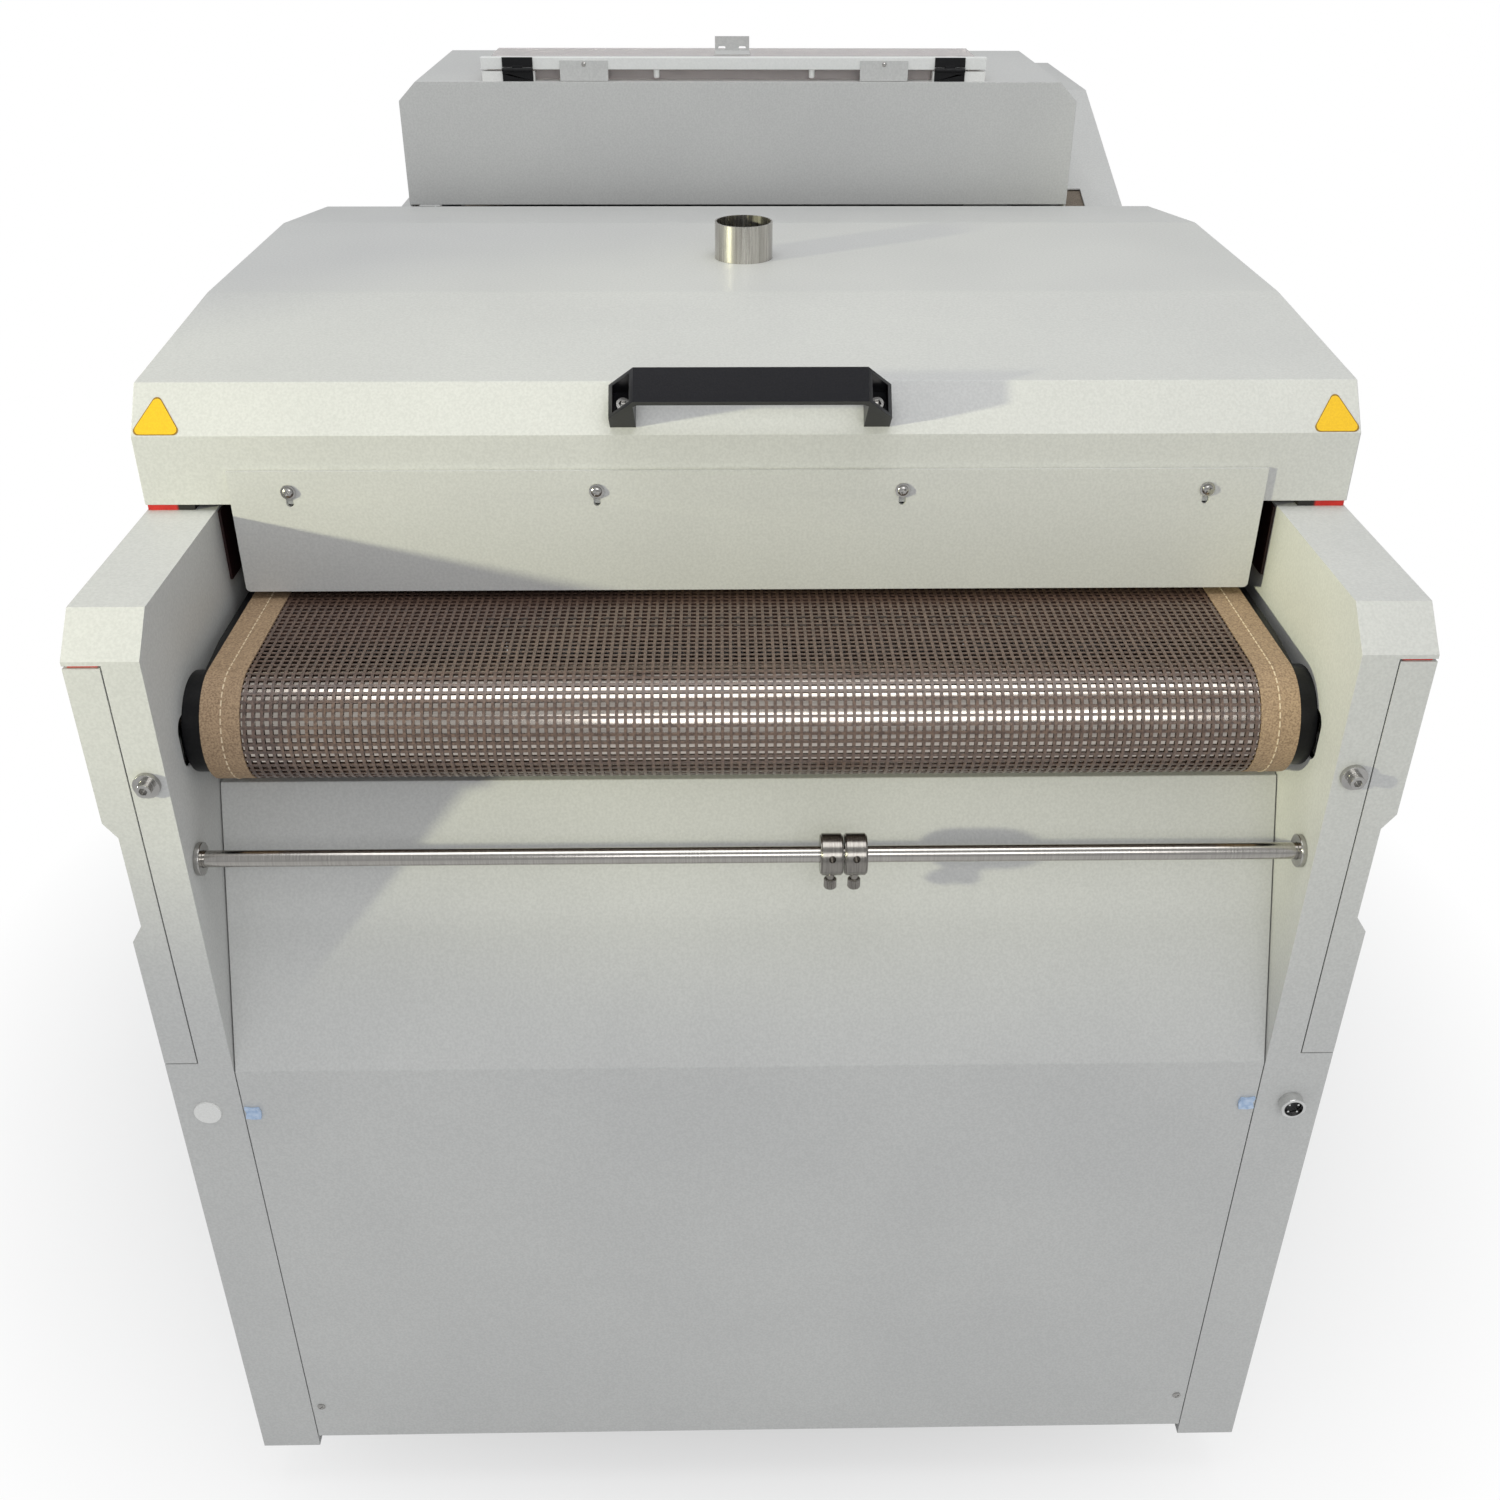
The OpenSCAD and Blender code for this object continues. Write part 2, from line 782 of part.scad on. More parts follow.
module signal_connector() color("silver") stand() {
    difference() {
        union() {
            y_rod(-conn_h, 0, conn_r, conn_x, conn_z);
            y_rod(-cut, conn_shank_l, conn_shank_r, conn_x, conn_z);
        }
        y_rod(-conn_h - cut, conn_bore_d - conn_h, conn_bore_r, conn_x, conn_z);
    }
    for (a = [45:90:315])
        y_rod(-conn_h + cut, conn_bore_d - conn_h, conn_pin_r,
            conn_x + conn_pin_ring * cos(a), conn_z + conn_pin_ring * sin(a));
}

// Rear panel with the tray opening and the power inlet
module rear_panel() color("gainsboro") stand() {
    difference() {
        block([-panel_x, cab_d - sheet_t, panel_z0], [panel_x, cab_d, rear_top_z]);
        block([-tray_w / 2 - tray_gap, cab_d - sheet_t - cut, tray_z0 - tray_gap],
            [tray_w / 2 + tray_gap, cab_d + cut, tray_z0 + tray_h + tray_gap]);
        block([inlet_x - inlet_w / 2 + inlet_rim - hole_gap, cab_d - sheet_t - cut,
            inlet_z - inlet_h / 2 + hole_gap],
            [inlet_x + inlet_w / 2 - inlet_rim + hole_gap, cab_d + cut,
            inlet_z + inlet_h / 2 - hole_gap]);
    }
    block([-panel_x, cab_d - panel_flange, rear_top_z - sheet_t], [panel_x, cab_d, rear_top_z]);
}

module power_inlet() color("black") stand() difference() {
    union() {
        block([inlet_x - inlet_w / 2, cab_d, inlet_z - inlet_h / 2 - inlet_rim],
            [inlet_x + inlet_w / 2, cab_d + inlet_proj, inlet_z + inlet_h / 2 + inlet_rim]);
        block([inlet_x - inlet_w / 2 + inlet_rim, cab_d - inlet_body, inlet_z - inlet_h / 2 + seam],
            [inlet_x + inlet_w / 2 - inlet_rim, cab_d + inlet_proj, inlet_z + inlet_h / 2 - seam]);
    }
    difference() {
        block([inlet_x - inlet_w / 2 + 2 * inlet_rim, cab_d + inlet_proj - inlet_well,
            inlet_z - inlet_h / 2 + inlet_rim],
            [inlet_x + inlet_w / 2 - 2 * inlet_rim, cab_d + inlet_proj + cut,
            inlet_z + inlet_h / 2 - inlet_rim]);
        for (k = [-1, 0, 1])
            block([inlet_x + 2 * k * inlet_pin - inlet_pin / 4, cab_d - inlet_well,
                inlet_z - inlet_pin],
                [inlet_x + 2 * k * inlet_pin + inlet_pin / 4, cab_d, inlet_z + inlet_pin]);
    }
}

module oven_liners() color("maroon") stand() both()
    block([wall_x - sheet_t, hood_y + 2 * sheet_t, liner_z0],
        [wall_x, hood_y1 - 2 * sheet_t, cab_h - sheet_t]);

// Conveyor
module conveyor_rails() color("black") stand() both() difference() {
    y0 = nose_y + rail_nose_back;
    z0 = roller_z - rail_nose_drop;
    union() {
        x_rod(rail_x, wall_x, rail_r, y0, z0);
        yz_plate(rail_x, rail_t, [
            [y0, z0 - rail_r], [y0, z0 + rail_r], [platform_y0, rail_top],
            [drive_y + rail_end, rail_top], [drive_y + rail_end, z0 - rail_r]]);
        block([rail_x, drive_y - rail_end, z0 - rail_r], [wall_x, drive_y + rail_end, rail_top]);
    }
    x_rod(rail_x - cut, wall_x + cut, roller_shaft_r + run_gap, nose_y, roller_z);
    x_rod(rail_x - cut, wall_x + cut, roller_shaft_r + run_gap, drive_y, roller_z);
}

module platform_plate() color("saddlebrown") stand()
    block([-rail_x, platform_y0, rail_top - platform_t], [rail_x, drive_y - belt_r, rail_top]);

module belt_loop(r, w) {
    x_rod(-w / 2, w / 2, r, nose_y, roller_z);
    x_rod(-w / 2, w / 2, r, drive_y, roller_z);
    block([-w / 2, nose_y, roller_z - r], [w / 2, drive_y, roller_z + r]);
}

module mesh_belt() color("rosybrown") stand() difference() {
    belt_loop(belt_r, belt_w);
    belt_loop(belt_r - belt_t, belt_w + 2 * cut);
}

module roller(y, z, r, w, shaft_r, x0, x1) {
    difference() {
        x_rod(-w / 2, w / 2, r, y, z);
        x_rod(-w / 2 + roller_end_t, w / 2 - roller_end_t, r - roller_wall, y, z);
    }
    x_rod(x0, x1, shaft_r, y, z);
}

module nose_roller() color("silver") stand()
    roller(nose_y, roller_z, roller_r, roller_w, roller_shaft_r,
        -tension_x - block_w / 2, tension_x + block_w / 2);

// Four points of a tooth, as shares of its pitch from its middle
tooth_shares = [-0.28, -0.12, 0.12, 0.28];

module sprocket(x, y, z, teeth, r) translate([x, y, z]) rotate([90, 0, 90])
    linear_extrude(sprocket_t) polygon([for (i = [0:teeth - 1], share = tooth_shares)
        let (a = 360 * (i + share) / teeth,
            q = r + (abs(share) == max(tooth_shares) ? -tooth_h : tooth_h / 2))
        [q * cos(a), q * sin(a)]]);

module drive_roller() color("silver") stand() {
    roller(drive_y, roller_z, roller_r, roller_w, roller_shaft_r,
        -wall_in_x, sprocket_x + sprocket_t);
    sprocket(sprocket_x, drive_y, roller_z, drive_teeth, drive_pitch_r);
}

module drive_motor() color("slategray") stand() difference() {
    union() {
        block([wall_x - gearbox_l, drive_y - gearbox / 2, motor_z - gearbox / 2],
            [wall_x, drive_y + gearbox / 2, motor_z + gearbox / 2]);
        x_rod(wall_x - gearbox_l - motor_l, wall_x - gearbox_l + cut, motor_r, drive_y, motor_z);
    }
    x_rod(wall_x - motor_fit, wall_x + cut, motor_shaft_r + run_gap, drive_y, motor_z);
}

module motor_sprocket() color("silver") stand() {
    x_rod(wall_x - motor_fit + body_gap, sprocket_x + sprocket_t, motor_shaft_r,
        drive_y, motor_z);
    sprocket(sprocket_x, drive_y, motor_z, motor_teeth, motor_pitch_r);
}

// Outline of a loop round both sprockets, that far outside their teeth
module chain_outline(grow) {
    upper = drive_pitch_r + tooth_h / 2 + grow;
    lower = motor_pitch_r + tooth_h / 2 + grow;
    lean = asin((lower - upper) / (roller_z - motor_z));
    translate([drive_y, roller_z]) circle(r = upper);
    translate([drive_y, motor_z]) circle(r = lower);
    polygon([
        [drive_y + upper * cos(lean), roller_z + upper * sin(lean)],
        [drive_y - upper * cos(lean), roller_z + upper * sin(lean)],
        [drive_y - lower * cos(lean), motor_z + lower * sin(lean)],
        [drive_y + lower * cos(lean), motor_z + lower * sin(lean)]]);
}

module drive_chain() color("gray") stand()
    translate([sprocket_x + (sprocket_t - chain_t) / 2, 0, 0]) rotate([90, 0, 90])
    linear_extrude(chain_t) difference() {
        chain_outline(body_gap + chain_band);
        chain_outline(body_gap);
    }

// Screw, washer and shaft block that set the belt's tension on one side
module tension_set() {
    difference() {
        union() {
            y_rod(-washer_t, 0, washer_r, tension_x, tension_z);
            y_rod(-washer_t - cap_h, -washer_t, cap_r, tension_x, tension_z);
            y_rod(-washer_t, nose_y - block_y / 2 + block_bite, screw_r, tension_x, tension_z);
        }
        translate([tension_x, cap_socket_d - front_proj, tension_z]) rotate([90, 0, 0])
            cylinder(h = cap_socket_d + cut, r = cap_socket_r, $fn = 6);
    }
    difference() {
        block([tension_x - block_w / 2, nose_y - block_y / 2, roller_z - block_h / 2],
            [tension_x + block_w / 2, nose_y + block_y / 2, roller_z + block_h / 2]);
        x_rod(wall_in_x, half_w, roller_shaft_r + run_gap, nose_y, roller_z);
        y_rod(0, nose_y - block_y / 2 + block_bite + seam, screw_r + hole_gap,
            tension_x, tension_z);
    }
}

module tension_screws() color("silver") stand() both() tension_set();

// Take-up rod and what rides on it
module take_up_rod() color("silver") stand()
    x_rod(-wall_x - rod_overrun, wall_in_x + rod_overrun + rod_blind, rod_d / 2, rod_y, rod_z);

module rod_bearings() color("silver") stand() both() difference() {
    union() {
        x_rod(wall_x - flange_t, wall_x, flange_r, rod_y, rod_z);
        x_rod(wall_x - flange_t, wall_x + hub_l, hub_r, rod_y, rod_z);
    }
    x_rod(wall_x - flange_t - cut, wall_x + hub_l + cut, rod_d / 2 + run_gap, rod_y, rod_z);
}

module take_up_motor() color("slategray") stand() difference() {
    x_rod(wall_x + hub_l + hole_gap, wall_x + hub_l + takeup_motor_l, takeup_motor_r,
        rod_y, rod_z);
    x_rod(wall_x, wall_in_x + rod_overrun + rod_blind + seam, rod_d / 2 + run_gap, rod_y, rod_z);
}

module collar(x) color("silver") stand() difference() {
    union() {
        x_rod(x - collar_w / 2, x + collar_w / 2, collar_d / 2 - collar_chamfer, rod_y, rod_z);
        x_rod(x - collar_w / 2 + collar_chamfer, x + collar_w / 2 - collar_chamfer,
            collar_d / 2, rod_y, rod_z);
    }
    x_rod(x - collar_w, x + collar_w, rod_d / 2 + run_gap, rod_y, rod_z);
    y_rod(rod_y - collar_d, rod_y - collar_d / 2 + collar_hole_d, collar_hole_r, x,
        rod_z + collar_d / 6);
    z_rod(rod_z - collar_d, rod_z, thumb_shank_r + run_gap, x, rod_y);
}

module collar_left() collar(collar_left_x);
module collar_right() collar(collar_right_x);

module thumb_screw(x) color("silver") stand() {
    top = rod_z - rod_d / 2 - body_gap;
    neck = rod_z - collar_d / 2 - thumb_neck_h;
    z_rod(neck, top, thumb_shank_r, x, rod_y);
    z_rod(neck - thumb_head_h, neck, thumb_head_r, x, rod_y);
    z_rod(neck - thumb_head_h - thumb_tip_h, neck, thumb_tip_r, x, rod_y);
}

module thumb_screw_left() thumb_screw(collar_left_x);
module thumb_screw_right() thumb_screw(collar_right_x);

// Hood
hood_turn_a = atan2(hood_bevel_y, hood_bevel_z);
hood_turn_c = atan2(hood_slope_z, hood_slope_y);
hood_turn_b = atan2(hood_bevel_z, hood_bevel_y) - hood_turn_c;
hood_turn_d = atan2(hood_back_z, hood_back_y);
hood_c_y = hood_y + hood_bevel_y;
hood_c_z = hood_z + hood_face_h + hood_bevel_z;
hood_mid_a = hood_turn_c + hood_turn_b / 2;
hood_mid_r = sheet_t / cos(hood_turn_b / 2);

function hood_outer() = [
    [hood_y, hood_z],
    [hood_y, hood_z + hood_face_h],
    [hood_c_y, hood_c_z],
    [hood_c_y + hood_slope_y, hood_z1],
    [hood_y1 - hood_back_y, hood_z1],
    [hood_y1, hood_z1 - hood_back_z],
    [hood_y1, hood_z]];

function hood_inner() = [
    [hood_y + sheet_t, hood_z - cut],
    [hood_y + sheet_t, hood_z + hood_face_h - setback(sheet_t, hood_turn_a)],
    [hood_c_y + hood_mid_r * sin(hood_mid_a), hood_c_z - hood_mid_r * cos(hood_mid_a)],
    [hood_c_y + hood_slope_y + setback(sheet_t, hood_turn_c), hood_z1 - sheet_t],
    [hood_y1 - hood_back_y - setback(sheet_t, hood_turn_d), hood_z1 - sheet_t],
    [hood_y1 - sheet_t, hood_z1 - hood_back_z - setback(sheet_t, square_turn - hood_turn_d)],
    [hood_y1 - sheet_t, hood_z - cut]];

// Places a shape on the steep bevel of the hood, with Z square to the bevel
module on_bevel() translate([0, hood_y, hood_z + hood_face_h])
    rotate([square_turn - hood_turn_a, 0, 0]) children();

module hood_shell() color("gainsboro") stand() difference() {
    union() {
        difference() {
            yz_plate(-half_w, cab_w, hood_outer());
            yz_plate(-skin_x, 2 * skin_x, hood_inner());
        }
        both() block([half_w - hood_lip, hood_y, hood_z], [half_w, hood_y1, hood_z + sheet_t]);
    }
    z_rod(hood_z, hood_z1 + cut, stub_d / 2 - stub_step + hole_gap, 0, stub_y);
    for (k = [-1.5:1:1.5])
        y_rod(hood_y - cut, hood_y + sheet_t + cut, flap_shank_r + hole_gap,
            k * flap_screw_span / 3, flap_screw_z);
    on_bevel() for (x = [-handle_span / 2, handle_span / 2])
        z_rod(-2 * sheet_t, sheet_t, handle_hole_r, x, handle_rise + handle_w / 2);
}

module hood_handle() color("black") stand() on_bevel() difference() {
    half = handle_span / 2 + handle_over;
    top = half - handle_slope;
    translate([0, handle_rise + handle_w, 0]) rotate([90, 0, 0]) linear_extrude(handle_w)
        polygon([
            [-half, 0], [-half, handle_foot_h], [-top, handle_h], [top, handle_h],
            [half, handle_foot_h], [half, 0], [half - handle_foot_w, 0],
            [half - handle_foot_w, handle_h - handle_bar - handle_corner],
            [half - handle_foot_w - handle_corner, handle_h - handle_bar],
            [handle_foot_w + handle_corner - half, handle_h - handle_bar],
            [handle_foot_w - half, handle_h - handle_bar - handle_corner],
            [handle_foot_w - half, 0]]);
    for (x = [-handle_span / 2, handle_span / 2]) {
        z_rod(-cut, handle_h, handle_hole_r, x, handle_rise + handle_w / 2);
        z_rod(handle_pocket_z, handle_h + cut, handle_pocket_r, x, handle_rise + handle_w / 2);
    }
}

module handle_screws() color("silver") stand() on_bevel()
    for (x = [-handle_span / 2, handle_span / 2]) difference() {
        union() {
            z_rod(-3 * sheet_t, handle_pocket_z, screw_r, x, handle_rise + handle_w / 2);
            z_rod(handle_pocket_z, handle_pocket_z + handle_cap_h, handle_cap_r, x,
                handle_rise + handle_w / 2);
        }
        translate([x, handle_rise + handle_w / 2, handle_pocket_z + handle_cap_h - cap_socket_d])
            cylinder(h = cap_socket_d + cut, r = cap_socket_r, $fn = 6);
    }

module exit_flap() color("gainsboro") stand() {
    y0 = hood_y - body_gap - flap_t;
    difference() {
        union() {
            block([-flap_w / 2, y0, flap_z0 + flap_corner],
                [flap_w / 2, y0 + flap_t, flap_z1]);
            block([-flap_w / 2 + flap_corner, y0, flap_z0],
                [flap_w / 2 - flap_corner, y0 + flap_t, flap_z0 + flap_corner]);
            both() y_rod(y0, y0 + flap_t, flap_corner, flap_w / 2 - flap_corner,
                flap_z0 + flap_corner);
        }
        for (k = [-1.5:1:1.5]) {
            x = k * flap_screw_span / 3;
            y_rod(y0 - cut, hood_y, flap_slot_r, x, flap_screw_z);
            y_rod(y0 - cut, hood_y, flap_slot_r, x, flap_screw_z - flap_travel - seam);
            block([x - flap_slot_r, y0 - cut, flap_screw_z - flap_travel - seam],
                [x + flap_slot_r, hood_y, flap_screw_z]);
        }
    }
}

module flap_screws() color("silver") stand() for (k = [-1.5:1:1.5]) {
    face = hood_y - 2 * body_gap - flap_t;
    x = k * flap_screw_span / 3;
    y_rod(face - flap_head_h, face, flap_head_r, x, flap_screw_z);
    y_rod(face - cut, hood_y + 3 * sheet_t, flap_shank_r, x, flap_screw_z);
}

module exhaust_stub() color("silver") stand() difference() {
    union() {
        z_rod(hood_z1 - stub_depth, hood_z1 + stub_h, stub_d / 2 - stub_step, 0, stub_y);
        z_rod(hood_z1, hood_z1 + stub_h, stub_d / 2, 0, stub_y);
    }
    z_rod(hood_z1 - stub_depth - cut, hood_z1 + stub_h + cut, stub_d / 2 - stub_wall, 0, stub_y);
}

module heater_tubes() color("linen") stand() for (i = [0:tube_count - 1]) {
    y = tube_y0 + i * tube_step;
    x_rod(tube_cap_l - reflector_x + reflector_t, reflector_x - reflector_t - tube_cap_l,
        tube_r, y, tube_z);
    both() x_rod(reflector_x - reflector_t - tube_cap_l, reflector_x - reflector_t,
        tube_cap_r, y, tube_z);
}

module heat_reflector() color("lightgray") stand() difference() {
    union() {
        block([-reflector_x, reflector_y0, reflector_z0],
            [reflector_x, reflector_y1, reflector_z1]);
        block([-skin_x, reflector_y0, reflector_z0],
            [skin_x, reflector_y1, reflector_z0 + reflector_t]);
    }
    block([reflector_t - reflector_x, reflector_y0 + reflector_t, reflector_z0 - cut],
        [reflector_x - reflector_t, reflector_y1 - reflector_t, reflector_z1 - reflector_t]);
    z_rod(reflector_z0, reflector_z1 + cut, stub_d / 2 + hole_gap, 0, stub_y);
}

module hood_hinge_arms() color("gray") stand() both() difference() {
    union() {
        x_rod(hinge_x - hinge_knuckle / 2, hinge_x + hinge_knuckle / 2, hinge_r,
            hinge_y, hinge_z);
        block([hinge_x - hinge_knuckle / 2, hood_y1, hinge_z - hinge_r],
            [hinge_x + hinge_knuckle / 2, hinge_y, hinge_z]);
        block([hinge_x - hinge_knuckle, hood_y1, hinge_z - 2 * hinge_r],
            [hinge_x + hinge_knuckle, hood_y1 + hinge_leaf_t, hinge_z + hinge_r]);
    }
    x_rod(hinge_x - hinge_knuckle, hinge_x + hinge_knuckle, hinge_pin_r + run_gap,
        hinge_y, hinge_z);
}

module hood_hinge_bases() color("gray") stand() both() {
    for (x = [hinge_x - hinge_knuckle * 1.5 - hinge_side, hinge_x + hinge_knuckle / 2 + hinge_side]) {
        x_rod(x, x + hinge_knuckle, hinge_r, hinge_y, hinge_z);
        block([x, hinge_y, bridge_z1], [x + hinge_knuckle, bridge_y + bridge_d, hinge_z]);
    }
    x_rod(hinge_x - hinge_knuckle * 1.5, hinge_x + hinge_knuckle * 1.5, hinge_pin_r,
        hinge_y, hinge_z);
}

// Bars that tie the housings together and carry the hopper and the tray
module cross_bars() color("dimgray") stand() {
    block([-wall_x, bridge_y, bridge_z0], [wall_x, bridge_y + bridge_d, cab_h - sheet_t]);
    block([-wall_x, bridge_y, bridge_z0], [bridge_top_x, bridge_y + bridge_d, bridge_z1]);
    for (y = [hopper_y + bar_inset, hopper_y + hopper_d - bar_inset - bar_y]) {
        block([-bar_x + post_w + hole_gap, y, bar_z1 - bar_y],
            [bar_x - post_w - hole_gap, y + bar_y, bar_z1]);
        both() {
            block([bar_x - post_w, y, post_z0], [bar_x, y + bar_y, bar_z1]);
            block([bar_x - post_w, y, post_z0], [wall_x, y + bar_y, post_z0 + post_foot_h]);
        }
    }
    both() block([tray_w / 2 - runner_w, cab_d - tray_len, tray_z0 - body_gap - runner_h],
        [tray_w / 2, cab_d - sheet_t, tray_z0 - body_gap]);
}

// Hopper
module hopper_box() color("gainsboro") stand() difference() {
    x = hopper_w / 2;
    turn = setback(sheet_t, 45);
    xz_plate(hopper_y, hopper_d, [
        [-x, hopper_side_z0], [-x, hopper_z1 - hopper_bevel], [hopper_bevel - x, hopper_z1],
        [x - hopper_bevel, hopper_z1], [x, hopper_z1 - hopper_bevel], [x, hopper_side_z0]]);
    xz_plate(hopper_y + sheet_t, hopper_d - 2 * sheet_t, [
        [sheet_t - x, hopper_side_z0 - cut],
        [sheet_t - x, hopper_z1 - hopper_bevel - turn],
        [hopper_bevel - x + turn, hopper_z1 - sheet_t],
        [x - hopper_bevel - turn, hopper_z1 - sheet_t],
        [x - sheet_t, hopper_z1 - hopper_bevel - turn],
        [x - sheet_t, hopper_side_z0 - cut]]);
    block([-x - cut, hopper_y - cut, hopper_side_z0 - cut],
        [x + cut, hopper_y + sheet_t + cut, hopper_z0]);
    translate([lid_mid_x, 0, 0])
        block([window_wall - window_x, window_y0 + window_wall, hopper_z1 - sheet_t - cut],
        [window_x - window_wall, window_y1 - window_wall, hopper_z1 + cut]);
}

// What sits on the hopper is a little left of its middle
module on_hopper() stand() translate([lid_mid_x, 0, 0]) children();

module powder_trough() color("silver") on_hopper() {
    y0 = window_y0;
    y1 = window_y1;
    z1 = hopper_z1 - sheet_t;
    z0 = meter_z + meter_r + seam;
    difference() {
        yz_plate(-trough_x, 2 * trough_x, [
            [y0, z1], [y1, z1], [y1, z1 - meter_r], [trough_y + trough_slot / 2 + trough_t, z0],
            [trough_y - trough_slot / 2 - trough_t, z0], [y0, z1 - meter_r]]);
        yz_plate(trough_t - trough_x, 2 * (trough_x - trough_t), [
            [y0 + trough_t, z1 + cut], [y1 - trough_t, z1 + cut],
            [y1 - trough_t, z1 - meter_r + trough_t / 2],
            [trough_y + trough_slot / 2, z0 - cut],
            [trough_y - trough_slot / 2, z0 - cut],
            [y0 + trough_t, z1 - meter_r + trough_t / 2]]);
    }
    both() difference() {
        block([trough_x, y0 + meter_r, meter_z - meter_end],
            [trough_x + trough_t, y1 - meter_r, z1]);
        x_rod(trough_x - cut, trough_x + trough_t + cut, meter_shaft_r + run_gap,
            trough_y, meter_z);
    }
}

module metering_roller() color("dimgray") on_hopper() {
    x_rod(body_gap - trough_x, trough_x - body_gap, meter_r, trough_y, meter_z);
    x_rod(-trough_x - trough_t - feed_motor_l / 2, trough_x + meter_end, meter_shaft_r,
        trough_y, meter_z);
}

module feed_motor() color("slategray") on_hopper() difference() {
    block([-trough_x - trough_t - feed_motor_l, trough_y - feed_motor_w / 2,
        hopper_side_z0], [-trough_x - trough_t, trough_y + feed_motor_w / 2,
        hopper_side_z0 + feed_motor_w]);
    x_rod(-trough_x - trough_t - feed_motor_l / 2 - seam, cut - trough_x - trough_t,
        meter_shaft_r + run_gap, trough_y, meter_z);
}

// Window over the trough and its lid
module window_frame() color("mistyrose") on_hopper() difference() {
    block([-window_x, window_y0, hopper_z1], [window_x, window_y1, hopper_z1 + window_h]);
    block([window_wall - window_x, window_y0 + window_wall, hopper_z1 - cut],
        [window_x - window_wall, window_y1 - window_wall, hopper_z1 + window_h + cut]);
}

module lid_window() color("mistyrose") on_hopper()
    block([-lid_x, lid_bar_y + lid_bar_d, lid_axis_z], [lid_x, lid_back, lid_axis_z + lid_t]);

module lid_bar() color("white") on_hopper()
    block([-lid_bar_x, lid_bar_y, lid_axis_z], [lid_bar_x, lid_bar_y + lid_bar_d,
        lid_axis_z + lid_bar_h]);

module lid_brackets() color("gainsboro") {
    x0 = lid_pull_x - lid_pull_w / 2;
    x1 = lid_pull_x + lid_pull_w / 2;
    top = lid_axis_z + lid_t;
    on_hopper() both() block([tab_x - tab_w / 2, lid_bar_y - tab_t, hopper_z1 + body_gap],
        [tab_x + tab_w / 2, lid_bar_y, hopper_z1 + body_gap + tab_h]);
    stand() difference() {
        union() {
            block([x0, lid_pull_y - lid_pull_foot, top], [x1, lid_pull_y, top + lid_pull_t]);
            block([x0, lid_pull_y - lid_pull_t, top], [x1, lid_pull_y, top + lid_pull_h]);
        }
        for (x = [lid_pull_x - lid_slot_side, lid_pull_x + lid_slot_side],
            end = [lid_slot_r - lid_slot_l / 2, lid_slot_l / 2 - lid_slot_r])
            y_rod(lid_pull_y - lid_pull_t - cut, lid_pull_y + cut, lid_slot_r,
                x + end, top + lid_slot_up);
        for (x = [lid_pull_x - lid_slot_side, lid_pull_x + lid_slot_side])
            block([x + lid_slot_r - lid_slot_l / 2, lid_pull_y - lid_pull_t - cut,
                top + lid_slot_up - lid_slot_r],
                [x + lid_slot_l / 2 - lid_slot_r, lid_pull_y + cut,
                top + lid_slot_up + lid_slot_r]);
    }
}

module lid_leaf_plate(z0, z1)
    block([lid_leaf_x - lid_leaf_w / 2, lid_bar_y - lid_leaf_t, z0],
        [lid_leaf_x + lid_leaf_w / 2, lid_bar_y, z1]);

module lid_hinge_bases() color("black") on_hopper() both() {
    third = lid_leaf_w / 3;
    lid_leaf_plate(lid_axis_z - lid_knuckle_r - lid_leaf_h, lid_axis_z - lid_knuckle_r);
    for (x = [lid_leaf_x - lid_leaf_w / 2, lid_leaf_x + lid_leaf_w / 2 - third]) {
        x_rod(x, x + third, lid_knuckle_r, lid_axis_y, lid_axis_z);
        block([x, lid_axis_y, lid_axis_z - lid_knuckle_r],
            [x + third, lid_bar_y - body_gap, lid_axis_z - lid_pin_r]);
        block([x, lid_axis_y, lid_axis_z - lid_knuckle_r - sheet_t],
            [x + third, lid_bar_y, lid_axis_z - lid_knuckle_r]);
    }
    x_rod(lid_leaf_x - lid_leaf_w / 2, lid_leaf_x + lid_leaf_w / 2, lid_pin_r,
        lid_axis_y, lid_axis_z);
    block([lid_leaf_x - lid_leaf_w / 2 - lid_block_in, lid_bar_y, hopper_z1],
        [lid_leaf_x - lid_leaf_w / 2 - lid_block_in + lid_block_w, lid_bar_y + lid_bar_d,
        lid_axis_z - lid_pin_r - body_gap]);
}

module lid_hinge_leaves() color("black") on_hopper() both() difference() {
    third = lid_leaf_w / 3 - body_gap;
    union() {
        lid_leaf_plate(lid_axis_z + lid_knuckle_r + body_gap, lid_axis_z + lid_bar_h);
        x_rod(lid_leaf_x - third / 2, lid_leaf_x + third / 2, lid_knuckle_r,
            lid_axis_y, lid_axis_z);
        block([lid_leaf_x - third / 2, lid_axis_y, lid_axis_z],
            [lid_leaf_x + third / 2, lid_bar_y, lid_axis_z + lid_knuckle_r + sheet_t]);
    }
    x_rod(lid_leaf_x - third, lid_leaf_x + third, lid_pin_r + run_gap, lid_axis_y, lid_axis_z);
}

// Console
console_rise = console_z - console_z0;
console_run = console_y1 - console_y0;
console_turn = atan2(console_rise, console_run);

function console_outline(t) = [
    [console_y0 + t, cab_h + t],
    [console_y0 + t, console_z0 - setback(t, square_turn - console_turn)],
    [console_y1 + setback(t, console_turn), console_z - t],
    [cab_d - t, console_z - t],
    [cab_d - t, cab_h + t]];

